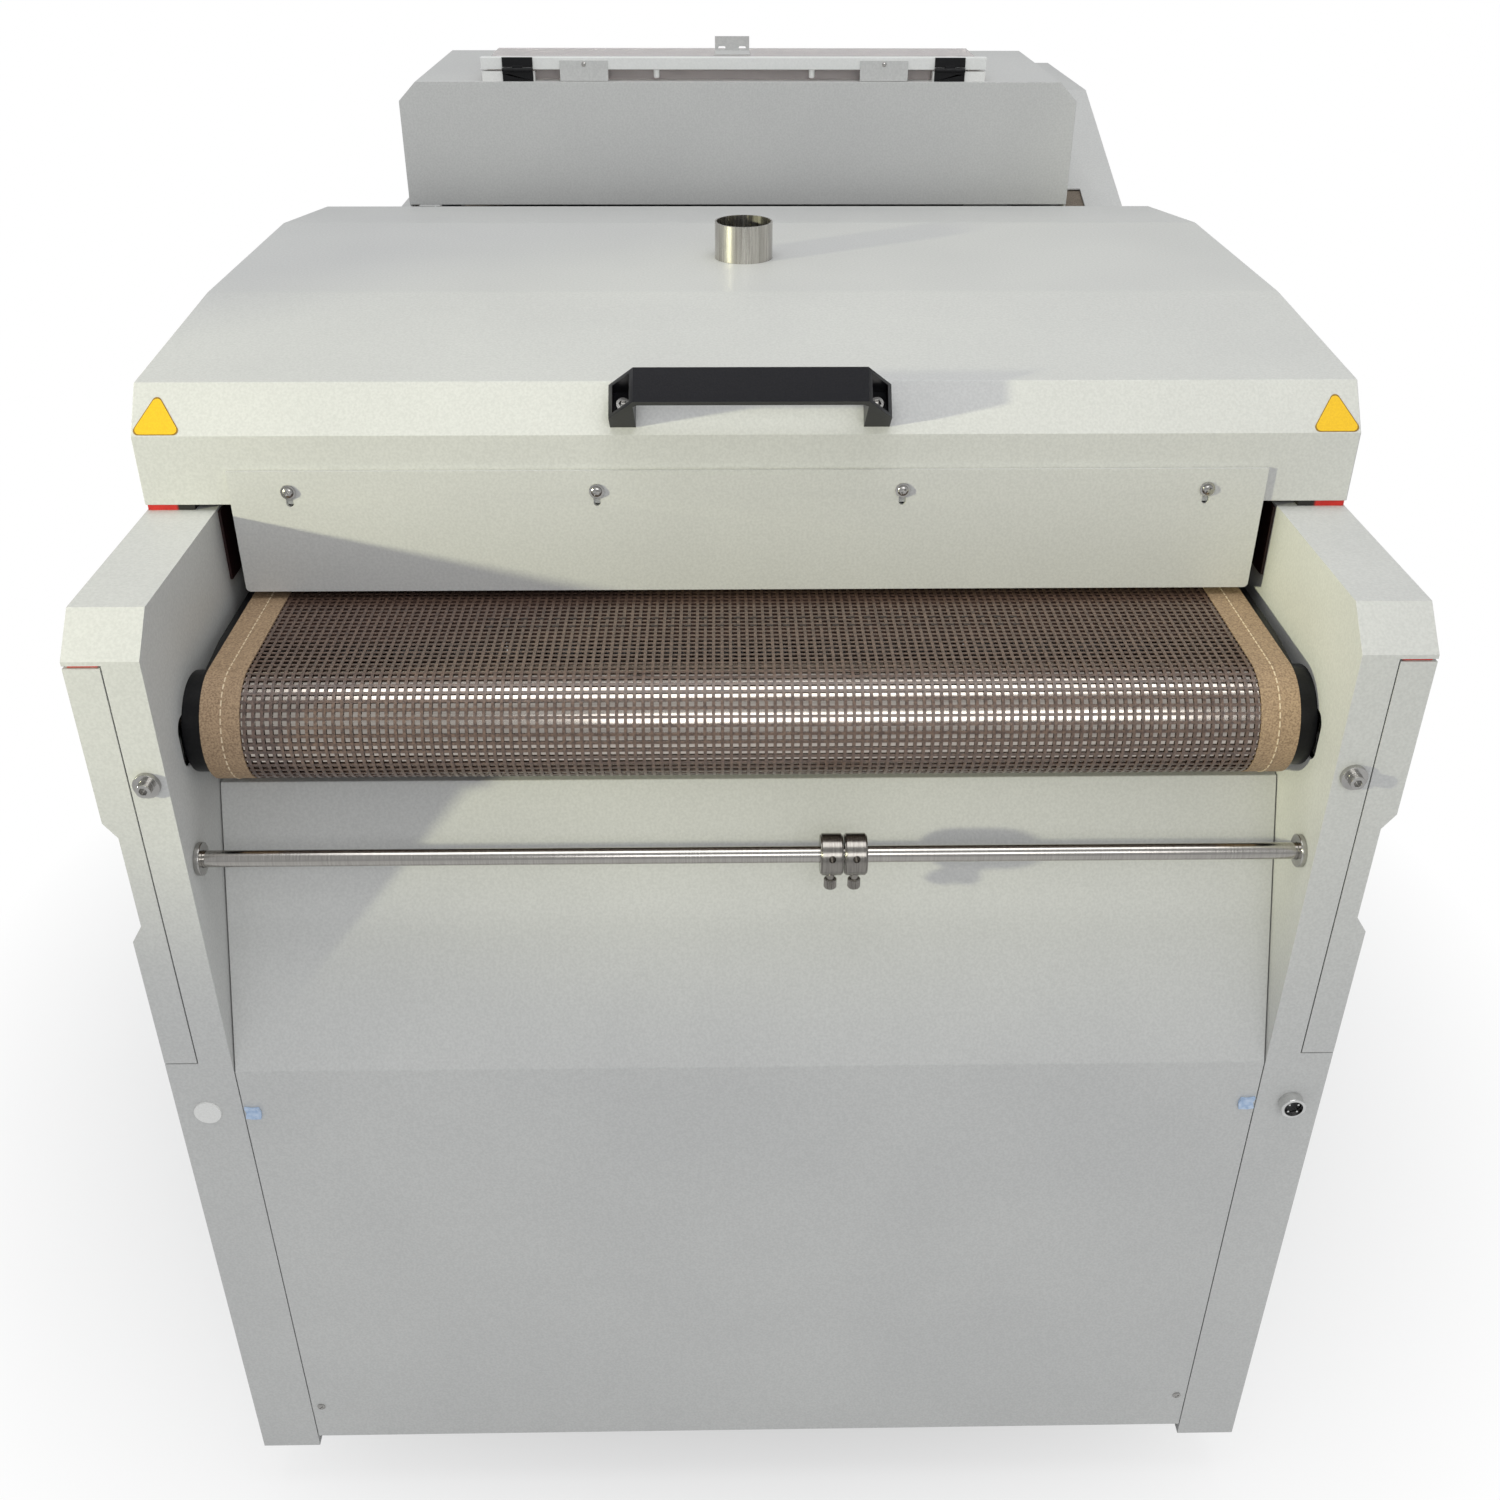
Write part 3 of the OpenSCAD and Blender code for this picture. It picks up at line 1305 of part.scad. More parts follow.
module console_shell() color("gainsboro") stand() difference() {
    union() {
        yz_plate(console_x, console_w, console_outline(0));
        block([half_w - console_back_w, console_y1, cab_h], [half_w, cab_d, console_z]);
        y_rod(cab_d - sheet_t, cab_d + estop_boss_h, estop_boss_r, estop_x, estop_z);
    }
    yz_plate(console_x + sheet_t, console_w - 2 * sheet_t, console_outline(sheet_t));
    block([half_w - console_back_w + sheet_t, console_y1 + sheet_t, cab_h + sheet_t],
        [skin_x, cab_d - sheet_t, console_z - sheet_t]);
    z_rod(cab_h - cut, cab_h + sheet_t + cut, cable_r, estop_x, cable_y);
    block([vent_x1 - vent_w, vent_y0, console_z0], [vent_x1, vent_y0 + vent_d, console_z]);
    block([screen_x - screen_w / 2 + screen_rim - hole_gap, cab_d - sheet_t - cut,
        screen_z - screen_h / 2 + screen_rim - hole_gap],
        [screen_x + screen_w / 2 - screen_rim + hole_gap, cab_d + cut,
        screen_z + screen_h / 2 - screen_rim + hole_gap]);
    y_rod(cab_d - sheet_t - cut, cab_d + estop_boss_h + cut, estop_stem_r + body_gap,
        estop_x, estop_z);
    y_rod(cab_d - sheet_t - cut, cab_d + cut, knob_stem_r + body_gap, estop_x, knob_z);
}

module touch_screen() color("black") stand() {
    block([screen_x - screen_w / 2, cab_d, screen_z - screen_h / 2],
        [screen_x + screen_w / 2, cab_d + screen_proj, screen_z + screen_h / 2]);
    block([screen_x - screen_w / 2 + screen_rim, cab_d - screen_body,
        screen_z - screen_h / 2 + screen_rim],
        [screen_x + screen_w / 2 - screen_rim, cab_d + screen_proj,
        screen_z + screen_h / 2 - screen_rim]);
}

module emergency_stop() color("red") stand() {
    y_rod(cab_d + estop_stand, cab_d + estop_stand + estop_h, estop_r, estop_x, estop_z);
    y_rod(cab_d - estop_stem_in, cab_d + estop_stand + seam, estop_stem_r, estop_x, estop_z);
}

module power_knob() color("black") stand() {
    y_rod(cab_d + body_gap, cab_d + body_gap + knob_base_h, knob_r, estop_x, knob_z);
    y_rod(cab_d - estop_stem_in, cab_d + knob_base_h, knob_stem_r, estop_x, knob_z);
    block([estop_x - knob_grip_w / 2, cab_d + knob_base_h, knob_z - knob_r],
        [estop_x + knob_grip_w / 2, cab_d + knob_base_h + knob_grip_h, knob_z + knob_r]);
}

// Film and powder handling at the back
module infeed_roller() color("silver") stand()
    roller(guide_y, guide_z, guide_r, 2 * (wall_x - tray_gap), guide_shaft_r,
        -wall_in_x - tray_gap, wall_in_x + tray_gap);

module beater_shaft() color("silver") stand() {
    x = wall_x - beater_margin;
    x_rod(-wall_in_x - tray_gap, wall_in_x + tray_gap, guide_shaft_r, beater_y, beater_z);
    x_rod(-x - seam, x + seam, beater_hub_r, beater_y, beater_z);
    for (i = [0:beater_fins - 1]) translate([0, beater_y, beater_z])
        rotate([beater_turn + i * 360 / beater_fins, 0, 0])
        block([-x, -beater_fin_t / 2, guide_shaft_r], [x, beater_fin_t / 2, beater_fin_r]);
}

module powder_tray() color("silver") stand() {
    x = tray_w / 2;
    y0 = cab_d - tray_len;
    y1 = cab_d + body_gap;
    difference() {
        block([-x, y0, tray_z0], [x, y1, tray_z0 + tray_h]);
        block([sheet_t - x, y0 + sheet_t, tray_z0 + sheet_t],
            [x - sheet_t, y1 - sheet_t, tray_z0 + tray_h + cut]);
    }
    block([-x - tray_face_over, y1, tray_z0 - tray_face_over],
        [x + tray_face_over, y1 + sheet_t, tray_z0 + tray_h + tray_face_over]);
    block([-tray_pull_w / 2, y1, tray_z0 + tray_h - tray_pull_h],
        [tray_pull_w / 2, y1 + tray_pull_d, tray_z0 + tray_h - tray_pull_h + sheet_t]);
    block([-tray_pull_w / 2, y1 + tray_pull_d - sheet_t, tray_z0 + tray_h - 2 * tray_pull_h],
        [tray_pull_w / 2, y1 + tray_pull_d, tray_z0 + tray_h - tray_pull_h + sheet_t]);
}

base_frame();
levelling_feet();
inner_wall_left();
inner_wall_right();
side_cover_left();
side_cover_right();
side_door_left();
side_door_right();
red_seals();
front_panel();
panel_screws();
rear_panel();
oven_liners();
hole_plug();
signal_connector();
power_inlet();
conveyor_rails();
platform_plate();
mesh_belt();
nose_roller();
drive_roller();
drive_motor();
motor_sprocket();
drive_chain();
tension_screws();
take_up_rod();
rod_bearings();
take_up_motor();
collar_left();
collar_right();
thumb_screw_left();
thumb_screw_right();
hood_shell();
hood_handle();
handle_screws();
flap_screws();
exit_flap();
exhaust_stub();
heater_tubes();
heat_reflector();
hood_hinge_arms();
hood_hinge_bases();
cross_bars();
hopper_box();
powder_trough();
metering_roller();
feed_motor();
window_frame();
lid_window();
lid_bar();
lid_brackets();
lid_hinge_bases();
lid_hinge_leaves();
console_shell();
touch_screen();
emergency_stop();
power_knob();
infeed_roller();
powder_tray();
beater_shaft();
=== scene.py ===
import json
from math import cos, pi, radians, sin

import bmesh
import bpy
from mathutils import Matrix, Vector

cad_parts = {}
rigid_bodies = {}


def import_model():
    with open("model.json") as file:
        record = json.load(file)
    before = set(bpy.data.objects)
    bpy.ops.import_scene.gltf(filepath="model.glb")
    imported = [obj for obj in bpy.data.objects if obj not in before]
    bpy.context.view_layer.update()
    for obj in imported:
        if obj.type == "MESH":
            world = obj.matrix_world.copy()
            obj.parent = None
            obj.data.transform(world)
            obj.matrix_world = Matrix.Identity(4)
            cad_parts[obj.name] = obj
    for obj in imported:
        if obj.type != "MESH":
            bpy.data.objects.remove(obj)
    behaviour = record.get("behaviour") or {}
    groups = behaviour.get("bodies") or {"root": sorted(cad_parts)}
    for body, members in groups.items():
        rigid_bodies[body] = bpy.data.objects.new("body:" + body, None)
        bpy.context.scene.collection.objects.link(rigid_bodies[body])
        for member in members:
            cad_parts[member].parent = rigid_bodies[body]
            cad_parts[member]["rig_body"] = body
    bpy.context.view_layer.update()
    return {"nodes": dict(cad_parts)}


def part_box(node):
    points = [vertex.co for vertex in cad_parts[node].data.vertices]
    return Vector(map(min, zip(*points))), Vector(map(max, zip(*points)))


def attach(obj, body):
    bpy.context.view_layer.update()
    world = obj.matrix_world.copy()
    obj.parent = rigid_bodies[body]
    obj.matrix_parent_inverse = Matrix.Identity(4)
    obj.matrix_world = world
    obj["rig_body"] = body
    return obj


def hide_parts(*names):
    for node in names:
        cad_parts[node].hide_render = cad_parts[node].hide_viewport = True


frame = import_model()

# Camera
# The photographer stood close in front of the machine and looked down on it.
# The place, the tilt and the lens are those worked out from its straight edges.
camera_place = Vector((-0.0196, -1.5992, 1.3143))
camera_pitch = radians(31.2033)
camera_yaw = radians(-1.111)
camera_roll = radians(0.206)
sensor_mm = 36.0
lens_mm = 36.563
nearest_seen = 0.05
camera_data = bpy.data.cameras.new("photographer")
camera_data.sensor_width = sensor_mm
camera_data.lens = lens_mm
camera_data.clip_start = nearest_seen
camera = bpy.data.objects.new("photographer", camera_data)
bpy.context.scene.collection.objects.link(camera)
camera.matrix_world = (
    Matrix.Translation(camera_place)
    @ Matrix.Rotation(camera_yaw, 4, "Z")
    @ Matrix.Rotation(pi / 2 - camera_pitch, 4, "X")
    @ Matrix.Rotation(camera_roll, 4, "Z")
)
bpy.context.scene.camera = camera
bpy.context.scene.view_settings.view_transform = "Standard"

# Studio
# A pale floor that fades to white away from the machine, an even white room,
# a broad lamp overhead, a weak one in front and a hard warm one low on the left.
room_tint = (0.97, 0.985, 1.0)
room_strength = 0.53
floor_half = 14.0
floor_grey = (0.86, 0.86, 0.86)
fade_near = 0.45
fade_far = 1.05
fade_least = 0.30
spot_tint = (1.0, 1.0, 0.68)
spot_watts = 400
spot_cone = radians(15)


def wired(tree, *links):
    """Links outputs to inputs of a node tree, given as pairs."""
    for output, socket in links:
        tree.links.new(output, socket)


def new_finish(name):
    """Returns a new material, its node tree and its shader."""
    finish = bpy.data.materials.new(name)
    finish.use_nodes = True
    return finish, finish.node_tree, finish.node_tree.nodes["Principled BSDF"]


def sees_white(tree):
    """One for camera and transmission rays, and zero for the light on the object."""
    rays = tree.nodes.new("ShaderNodeLightPath")
    either = tree.nodes.new("ShaderNodeMath")
    either.operation = "MAXIMUM"
    wired(tree, (rays.outputs["Is Camera Ray"], either.inputs[0]),
          (rays.outputs["Is Transmission Ray"], either.inputs[1]))
    return either.outputs[0]


room = bpy.data.worlds.new("white_room")
room.use_nodes = True
room_tree = room.node_tree
room_light = room_tree.nodes["Background"]
room_light.inputs["Color"].default_value = (*room_tint, 1)
room_light.inputs["Strength"].default_value = room_strength
room_white = room_tree.nodes.new("ShaderNodeBackground")
room_white.inputs["Color"].default_value = (1, 1, 1, 1)
room_mix = room_tree.nodes.new("ShaderNodeMixShader")
wired(room_tree, (sees_white(room_tree), room_mix.inputs[0]),
      (room_light.outputs[0], room_mix.inputs[1]),
      (room_white.outputs[0], room_mix.inputs[2]),
      (room_mix.outputs[0], room_tree.nodes["World Output"].inputs[0]))
bpy.context.scene.world = room

floor_corners = [(-floor_half, -floor_half, 0), (floor_half, -floor_half, 0),
                 (floor_half, floor_half, 0), (-floor_half, floor_half, 0)]
floor_mesh = bpy.data.meshes.new("studio_floor")
floor_mesh.from_pydata(floor_corners, [], [(0, 1, 2, 3)])
floor = bpy.data.objects.new("studio_floor", floor_mesh)
bpy.context.scene.collection.objects.link(floor)
floor_paint, floor_tree, floor_shader = new_finish("studio_floor")
floor_shader.inputs["Base Color"].default_value = (*floor_grey, 1)
floor_shader.inputs["Roughness"].default_value = 0.9
floor_shader.inputs["Specular IOR Level"].default_value = 0.1
floor_glow = floor_tree.nodes.new("ShaderNodeEmission")
floor_place = floor_tree.nodes.new("ShaderNodeNewGeometry")
floor_reach = floor_tree.nodes.new("ShaderNodeVectorMath")
floor_reach.operation = "DISTANCE"
floor_reach.inputs[1].default_value = (0, 0, 0)
floor_fade = floor_tree.nodes.new("ShaderNodeMapRange")
floor_fade.inputs["From Min"].default_value = fade_near
floor_fade.inputs["From Max"].default_value = fade_far
floor_fade.inputs["To Min"].default_value = fade_least
floor_fade.inputs["To Max"].default_value = 1.0
floor_share = floor_tree.nodes.new("ShaderNodeMath")
floor_share.operation = "MULTIPLY"
floor_mix = floor_tree.nodes.new("ShaderNodeMixShader")
wired(floor_tree, (floor_place.outputs["Position"], floor_reach.inputs[0]),
      (floor_reach.outputs["Value"], floor_fade.inputs["Value"]),
      (floor_fade.outputs[0], floor_share.inputs[0]),
      (sees_white(floor_tree), floor_share.inputs[1]),
      (floor_share.outputs[0], floor_mix.inputs[0]),
      (floor_shader.outputs[0], floor_mix.inputs[1]),
      (floor_glow.outputs[0], floor_mix.inputs[2]),
      (floor_mix.outputs[0], floor_tree.nodes["Material Output"].inputs[0]))
floor_mesh.materials.append(floor_paint)


def aimed(light, place, target):
    """Stands a lamp at a place and points it at a target."""
    holder = bpy.data.objects.new(light.name, light)
    bpy.context.scene.collection.objects.link(holder)
    holder.location = place
    sight = Vector(target) - Vector(place)
    holder.rotation_euler = sight.to_track_quat("-Z", "Y").to_euler()


def lamp(name, place, target, width, height, watts):
    """Aims a rectangular lamp of that width and height at a target."""
    light = bpy.data.lights.new(name, "AREA")
    light.shape = "RECTANGLE"
    light.size = width
    light.size_y = height
    light.energy = watts
    aimed(light, place, target)


lamp("overhead_lamp", (0.1, -0.7, 3.7), (0, -0.1, 0.9), width=2.4, height=1.8, watts=34)
lamp("front_lamp", (0.4, -3.4, 2.3), (0, -0.3, 0.7), width=1.6, height=1.0, watts=16)
left_lamp = bpy.data.lights.new("left_lamp", "SPOT")
left_lamp.energy = spot_watts
left_lamp.color = spot_tint
left_lamp.spot_size = spot_cone
left_lamp.spot_blend = 0.7
left_lamp.shadow_soft_size = 0.07
aimed(left_lamp, (-3.2, -2.07, 1.53), (0.12, -0.49, 0.93))

# Side housings
# Each is a folded steel cover and an inner wall with a door hung at its back edge.
# All sheet is powder coated in one light warm grey with a fine orange-peel grain.
paint_light = (0.632, 0.636, 0.622)
paint_dark = (0.572, 0.576, 0.564)
cloud_tone = (0.955, 0.955, 0.96)
cloud_size = 0.16
peel_size = 0.0019
peel_depth = 0.00010
fold_radius = 0.0008
weld_distance = 0.00001
flat_turn = radians(1)
fold_turn = radians(2.5)
rim_turn = radians(28)
wide_face = 0.002


def mottled(tree, light, dark, size, detail=3.0, stretch=(1, 1, 1)):
    """Mixes two colours by noise whose cells have that size in metres along each axis."""
    place = tree.nodes.new("ShaderNodeTexCoord")
    scale = tree.nodes.new("ShaderNodeMapping")
    scale.inputs["Scale"].default_value = stretch
    noise = tree.nodes.new("ShaderNodeTexNoise")
    noise.inputs["Scale"].default_value = 1 / size
    noise.inputs["Detail"].default_value = detail
    ramp = tree.nodes.new("ShaderNodeValToRGB")
    for element, position, colour in zip(ramp.color_ramp.elements, (0.35, 0.65), (dark, light)):
        element.position = position
        element.color = (*colour, 1)
    wired(tree, (place.outputs["Object"], scale.inputs["Vector"]),
          (scale.outputs[0], noise.inputs["Vector"]),
          (noise.outputs["Fac"], ramp.inputs["Fac"]))
    return ramp.outputs["Color"], noise.outputs["Fac"]


def bumped(tree, shader, height, depth, strength=0.6):
    """Raises the surface of that shader by a height pattern of that depth in metres."""
    bump = tree.nodes.new("ShaderNodeBump")
    bump.inputs["Distance"].default_value = depth
    bump.inputs["Strength"].default_value = strength
    wired(tree, (height, bump.inputs["Height"]), (bump.outputs["Normal"], shader.inputs["Normal"]))


def powder_coat(name, light, dark, roughness, grain=peel_size, gloss=0.4):
    """Powder paint: an orange-peel grain under broad, faint clouds of tone."""
    finish, tree, shader = new_finish(name)
    fine, fine_height = mottled(tree, light, dark, grain, 2.0)
    broad = mottled(tree, (1.0, 1.0, 1.0), cloud_tone, cloud_size, 2.0)[0]
    both = tree.nodes.new("ShaderNodeMix")
    both.data_type = "RGBA"
    both.blend_type = "MULTIPLY"
    both.inputs["Factor"].default_value = 1.0
    wired(tree, (fine, both.inputs["A"]), (broad, both.inputs["B"]),
          (both.outputs["Result"], shader.inputs["Base Color"]))
    shader.inputs["Roughness"].default_value = roughness
    shader.inputs["Specular IOR Level"].default_value = gloss
    bumped(tree, shader, fine_height, peel_depth)
    return finish


def coat(finish, *nodes):
    """Gives CAD nodes that keep their shape their finish."""
    for node in nodes:
        mesh = frame["nodes"][node].data
        mesh.materials.clear()
        mesh.materials.append(finish)


def softened(node, finish, radius=fold_radius, steps=2):
    """Stands a copy of a node with its folds and edges rounded to that radius in its place."""
    cad = frame["nodes"][node]
    mesh = bpy.data.meshes.new("formed_" + node)
    work = bmesh.new()
    work.from_mesh(cad.data)
    bmesh.ops.remove_doubles(work, verts=work.verts, dist=weld_distance)
    bmesh.ops.dissolve_limit(
        work, angle_limit=flat_turn, verts=work.verts, edges=work.edges, delimit={"NORMAL"})
    for face in work.faces:
        face.smooth = True
    fold_weight = work.edges.layers.float.new("bevel_weight_edge")
    for edge in work.edges:
        turn = edge.calc_face_angle(0)
        wide = min([face.calc_area() for face in edge.link_faces], default=0) > wide_face
        rim = turn > rim_turn
        if edge.calc_length() > radius and (rim or (wide and turn > fold_turn)):
            edge[fold_weight] = 1
        elif rim:
            edge.smooth = False
    work.to_mesh(mesh)
    work.free()
    mesh.materials.append(finish)
    piece = bpy.data.objects.new("formed_" + node, mesh)
    bpy.context.scene.collection.objects.link(piece)
    folds = piece.modifiers.new("folds", "BEVEL")
    folds.width = radius
    folds.segments = steps
    folds.limit_method = "WEIGHT"
    flats = piece.modifiers.new("flats", "WEIGHTED_NORMAL")
    flats.keep_sharp = True
    flats.weight = 100
    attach(piece, cad["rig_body"])
    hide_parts(node)
    return piece


grey_coat = powder_coat("grey_powder_coat", paint_light, paint_dark, 0.46)
for housing_sheet in ("side_cover_left", "side_cover_right", "side_door_left", "side_door_right",
                      "inner_wall_left", "inner_wall_right"):
    softened(housing_sheet, grey_coat)

# Seals
# Red silicone strips lie between the hood and the housings and over the doors.
# Their inner part is painted black as the shadow in the gap under the hood, so red shows only at
# the sides.
seal_red = (0.62, 0.022, 0.016)
seal_shade = (0.50, 0.016, 0.012)
# Painted shade: a near-black colour for the shadow in the gap under the hood, put on the seal's
# inner part
seal_painted_shade = (0.012, 0.010, 0.010)
shade_edge_x = 0.4175
shade_edge_blur = 0.001
seal_rubber, seal_tree, seal_shader = new_finish("red_silicone")
seal_shader.inputs["Roughness"].default_value = 0.6
seal_tone, seal_height = mottled(seal_tree, seal_red, seal_shade, 0.004)
seal_place = seal_tree.nodes.new("ShaderNodeTexCoord")
seal_split = seal_tree.nodes.new("ShaderNodeSeparateXYZ")
seal_side = seal_tree.nodes.new("ShaderNodeMath")
seal_side.operation = "ABSOLUTE"
# Painted shade mask: the seal turns black inward of the edge in |x| and stays red outside it
seal_out = seal_tree.nodes.new("ShaderNodeMapRange")
seal_out.inputs["From Min"].default_value = shade_edge_x - shade_edge_blur
seal_out.inputs["From Max"].default_value = shade_edge_x + shade_edge_blur
seal_mix = seal_tree.nodes.new("ShaderNodeMix")
seal_mix.data_type = "RGBA"
seal_mix.inputs["A"].default_value = (*seal_painted_shade, 1)
wired(seal_tree, (seal_place.outputs["Object"], seal_split.inputs[0]),
      (seal_split.outputs["X"], seal_side.inputs[0]),
      (seal_side.outputs[0], seal_out.inputs["Value"]),
      (seal_out.outputs[0], seal_mix.inputs["Factor"]),
      (seal_tone, seal_mix.inputs["B"]),
      (seal_mix.outputs["Result"], seal_shader.inputs["Base Color"]))
bumped(seal_tree, seal_shader, seal_height, 0.0001)
coat(seal_rubber, "red_seals")

# Front panel
# One folded sheet closes the front between the housings and slopes back at the top.
# Four small screws hold it, and scraps of blue film are left on the upper two.
to_front = (0, -1, 0)
point_merge = 0.000001
crease_turn = radians(32)
softened("front_panel", grey_coat)


def metal(name, light, dark, roughness, size, stretch=(1, 1, 1), depth=0.00002):
    """Bare metal with tool marks that run along the axes where stretch is small."""
    finish, tree, shader = new_finish(name)
    tone, height = mottled(tree, light, dark, size, stretch=stretch)
    shader.inputs["Metallic"].default_value = 1.0
    spread = tree.nodes.new("ShaderNodeMapRange")
    spread.inputs["To Min"].default_value = roughness * 0.7
    spread.inputs["To Max"].default_value = roughness * 1.3
    wired(tree, (tone, shader.inputs["Base Color"]), (height, spread.inputs["Value"]),
          (spread.outputs[0], shader.inputs["Roughness"]))
    bumped(tree, shader, height, depth, 0.4)
    return finish


def moulded(name, light, dark, roughness, size=0.0012, depth=0.00006, gloss=0.5, detail=2.0):
    """Plastic, yarn, tape or felt in two tones, with a grain of that size and depth."""
    finish, tree, shader = new_finish(name)
    tone, height = mottled(tree, light, dark, size, detail)
    wired(tree, (tone, shader.inputs["Base Color"]))
    shader.inputs["Roughness"].default_value = roughness
    shader.inputs["Specular IOR Level"].default_value = gloss
    bumped(tree, shader, height, depth)
    return finish


def made(name, points, faces, finish, body, smooth=False):
    """A new piece from points and faces, fixed to a body of the machine."""
    mesh = bpy.data.meshes.new(name)
    mesh.from_pydata(points, [], faces)
    work = bmesh.new()
    work.from_mesh(mesh)
    bmesh.ops.remove_doubles(work, verts=work.verts, dist=point_merge)
    bmesh.ops.recalc_face_normals(work, faces=work.faces)
    work.to_mesh(mesh)
    work.free()
    for face in mesh.polygons:
        face.use_smooth = smooth
    if smooth:
        mesh.set_sharp_from_angle(angle=crease_turn)
    mesh.materials.append(finish)
    piece = bpy.data.objects.new(name, mesh)
    bpy.context.scene.collection.objects.link(piece)
    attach(piece, body)
    return piece


def skinned(faces, first, ring, rows, closed=False):
    """Adds walls between rows of ring points. The rows close a loop or get two end faces."""
    for row in range(rows if closed else rows - 1):
        here = first + row * ring
        there = first + (row + 1) % rows * ring
        for k in range(ring):
            after = (k + 1) % ring
            faces.append((here + k, here + after, there + after, there + k))
    if not closed:
        for end in (first, first + (rows - 1) * ring):
            faces.append(tuple(range(end, end + ring)))


def plated(points, faces, top, foot):
    """Adds the top face and the rim of a thin plate that lies on a surface."""
    first = len(points)
    count = len(top)
    points += top + foot
    faces.append(tuple(range(first, first + count)))
    for k in range(count):
        after = (k + 1) % count
        faces.append((first + k, first + after, first + count + after, first + count + k))


def turned(points, faces, profile, base, axis, steps=32):
    """Adds a shape of revolution: profile holds (distance along axis, radius) pairs."""
    axis = Vector(axis).normalized()
    side = axis.orthogonal().normalized()
    other = axis.cross(side)
    first = len(points)
    for along, radius in profile:
        for k in range(steps):
            turn = 2 * pi * k / steps
            outward = side * cos(turn) + other * sin(turn)
            points.append(Vector(base) + axis * along + outward * radius)
    skinned(faces, first, steps, len(profile))


def carved(piece, blocks):
    """Cuts blocks out of a piece. Each is its middle and its three half edges."""
    cutter = bmesh.new()
    for middle, *half_edges in blocks:
        turned_block = Matrix.Translation(middle) @ Matrix(half_edges).transposed().to_4x4()
        bmesh.ops.create_cube(cutter, size=2, matrix=turned_block)
    tool_mesh = bpy.data.meshes.new("recess_tool")
    cutter.to_mesh(tool_mesh)
    cutter.free()
    tool = bpy.data.objects.new("recess_tool", tool_mesh)
    bpy.context.scene.collection.objects.link(tool)
    cut = piece.modifiers.new("recess", "BOOLEAN")
    cut.object = tool
    cut.solver = "EXACT"
    cut.use_self = True
    bpy.context.view_layer.update()
    shown = piece.evaluated_get(bpy.context.evaluated_depsgraph_get())
    shaped = bpy.data.meshes.new_from_object(shown)
    piece.modifiers.clear()
    piece.data = shaped
    bpy.data.objects.remove(tool)


def cross_cut(piece, places, axis, reach, width, depth):
    """Cuts a cross recess into the screw heads at those places."""
    axis = Vector(axis).normalized()
    side = axis.orthogonal().normalized()
    other = axis.cross(side)
    blocks = []
    for place in places:
        for long_way, short_way in ((side, other), (other, side)):
            blocks.append((Vector(place), long_way * reach, short_way * width, axis * depth))
    carved(piece, blocks)


screw_steel = metal("screw_steel", (0.50, 0.49, 0.47), (0.41, 0.40, 0.385), 0.20, 0.012)
panel_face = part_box("front_panel")[0].y
screws_low, screws_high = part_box("panel_screws")
panel_head = 0.0035
panel_head_h = 0.0015
panel_head_sink = 0.0001
panel_profile = [(0, panel_head), (0.0006, panel_head), (0.0012, panel_head * 0.75),
                 (panel_head_h, panel_head * 0.3)]
screw_rows = (screws_low.z + panel_head, screws_high.z - panel_head)
screw_sides = (screws_low.x + panel_head, screws_high.x - panel_head)
points, faces, spots = [], [], []
for screw_x in screw_sides:
    for screw_z in screw_rows:
        foot = (screw_x, panel_face - panel_head_sink, screw_z)
        turned(points, faces, panel_profile, foot, to_front, 20)
        spots.append((screw_x, panel_face - panel_head_h, screw_z))
panel_screws = made("panel_screw_heads", points, faces, screw_steel, "cabinet", True)
cross_cut(panel_screws, spots, to_front, reach=panel_head * 0.62, width=0.0004, depth=0.0008)
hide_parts("panel_screws")

film_blue = moulded("blue_film", (0.56, 0.68, 0.86), (0.36, 0.50, 0.72), 0.25, 0.004, 0.0005,
                    detail=3.0)
film_outline = [(-1.0, -0.7), (-0.2, -0.95), (0.9, -0.8), (1.0, 0.1),
                (0.8, 0.9), (-0.1, 0.8), (-0.95, 1.0), (-0.8, 0.1)]
film_half = 0.0062
film_shift = 0.001
film_gap = 0.0003
film_curl = 0.0010
film_foot = 0.0002
points, faces = [], []
for side_sign, film_x in ((1, screw_sides[0]), (-1, screw_sides[1])):
    film_top, film_rim = [], []
    for share_x, share_z in film_outline:
        scrap_x = film_x + side_sign * share_x * film_half - side_sign * film_shift
        scrap_z = screw_rows[1] + share_z * film_half
        lift = film_gap + film_curl * abs(share_x * share_z)
        film_top.append((scrap_x, panel_face - panel_head_h - lift, scrap_z))
        film_rim.append((scrap_x, panel_face - film_foot, scrap_z))
    plated(points, faces, film_top, film_rim)
made("blue_film_scraps", points, faces, film_blue, "cabinet")

# Base, feet and rear panel
# Welded square tube under the housings stands on four levelling feet.
# The rear panel carries the powder tray's opening and the power inlet.
dark_coat = powder_coat("dark_powder_coat", (0.060, 0.060, 0.066), (0.042, 0.042, 0.046), 0.42)
zinc = metal("zinc_sheet", (0.60, 0.62, 0.64), (0.44, 0.46, 0.48), 0.38, 0.018)
softened("base_frame", dark_coat, 0.0015)
softened("cross_bars", dark_coat, 0.0012)
softened("levelling_feet", zinc, 0.0008)
softened("rear_panel", grey_coat)
black_nylon = moulded("black_nylon", (0.016, 0.016, 0.018), (0.010, 0.010, 0.012), 0.42)
softened("power_inlet", black_nylon, 0.0006)

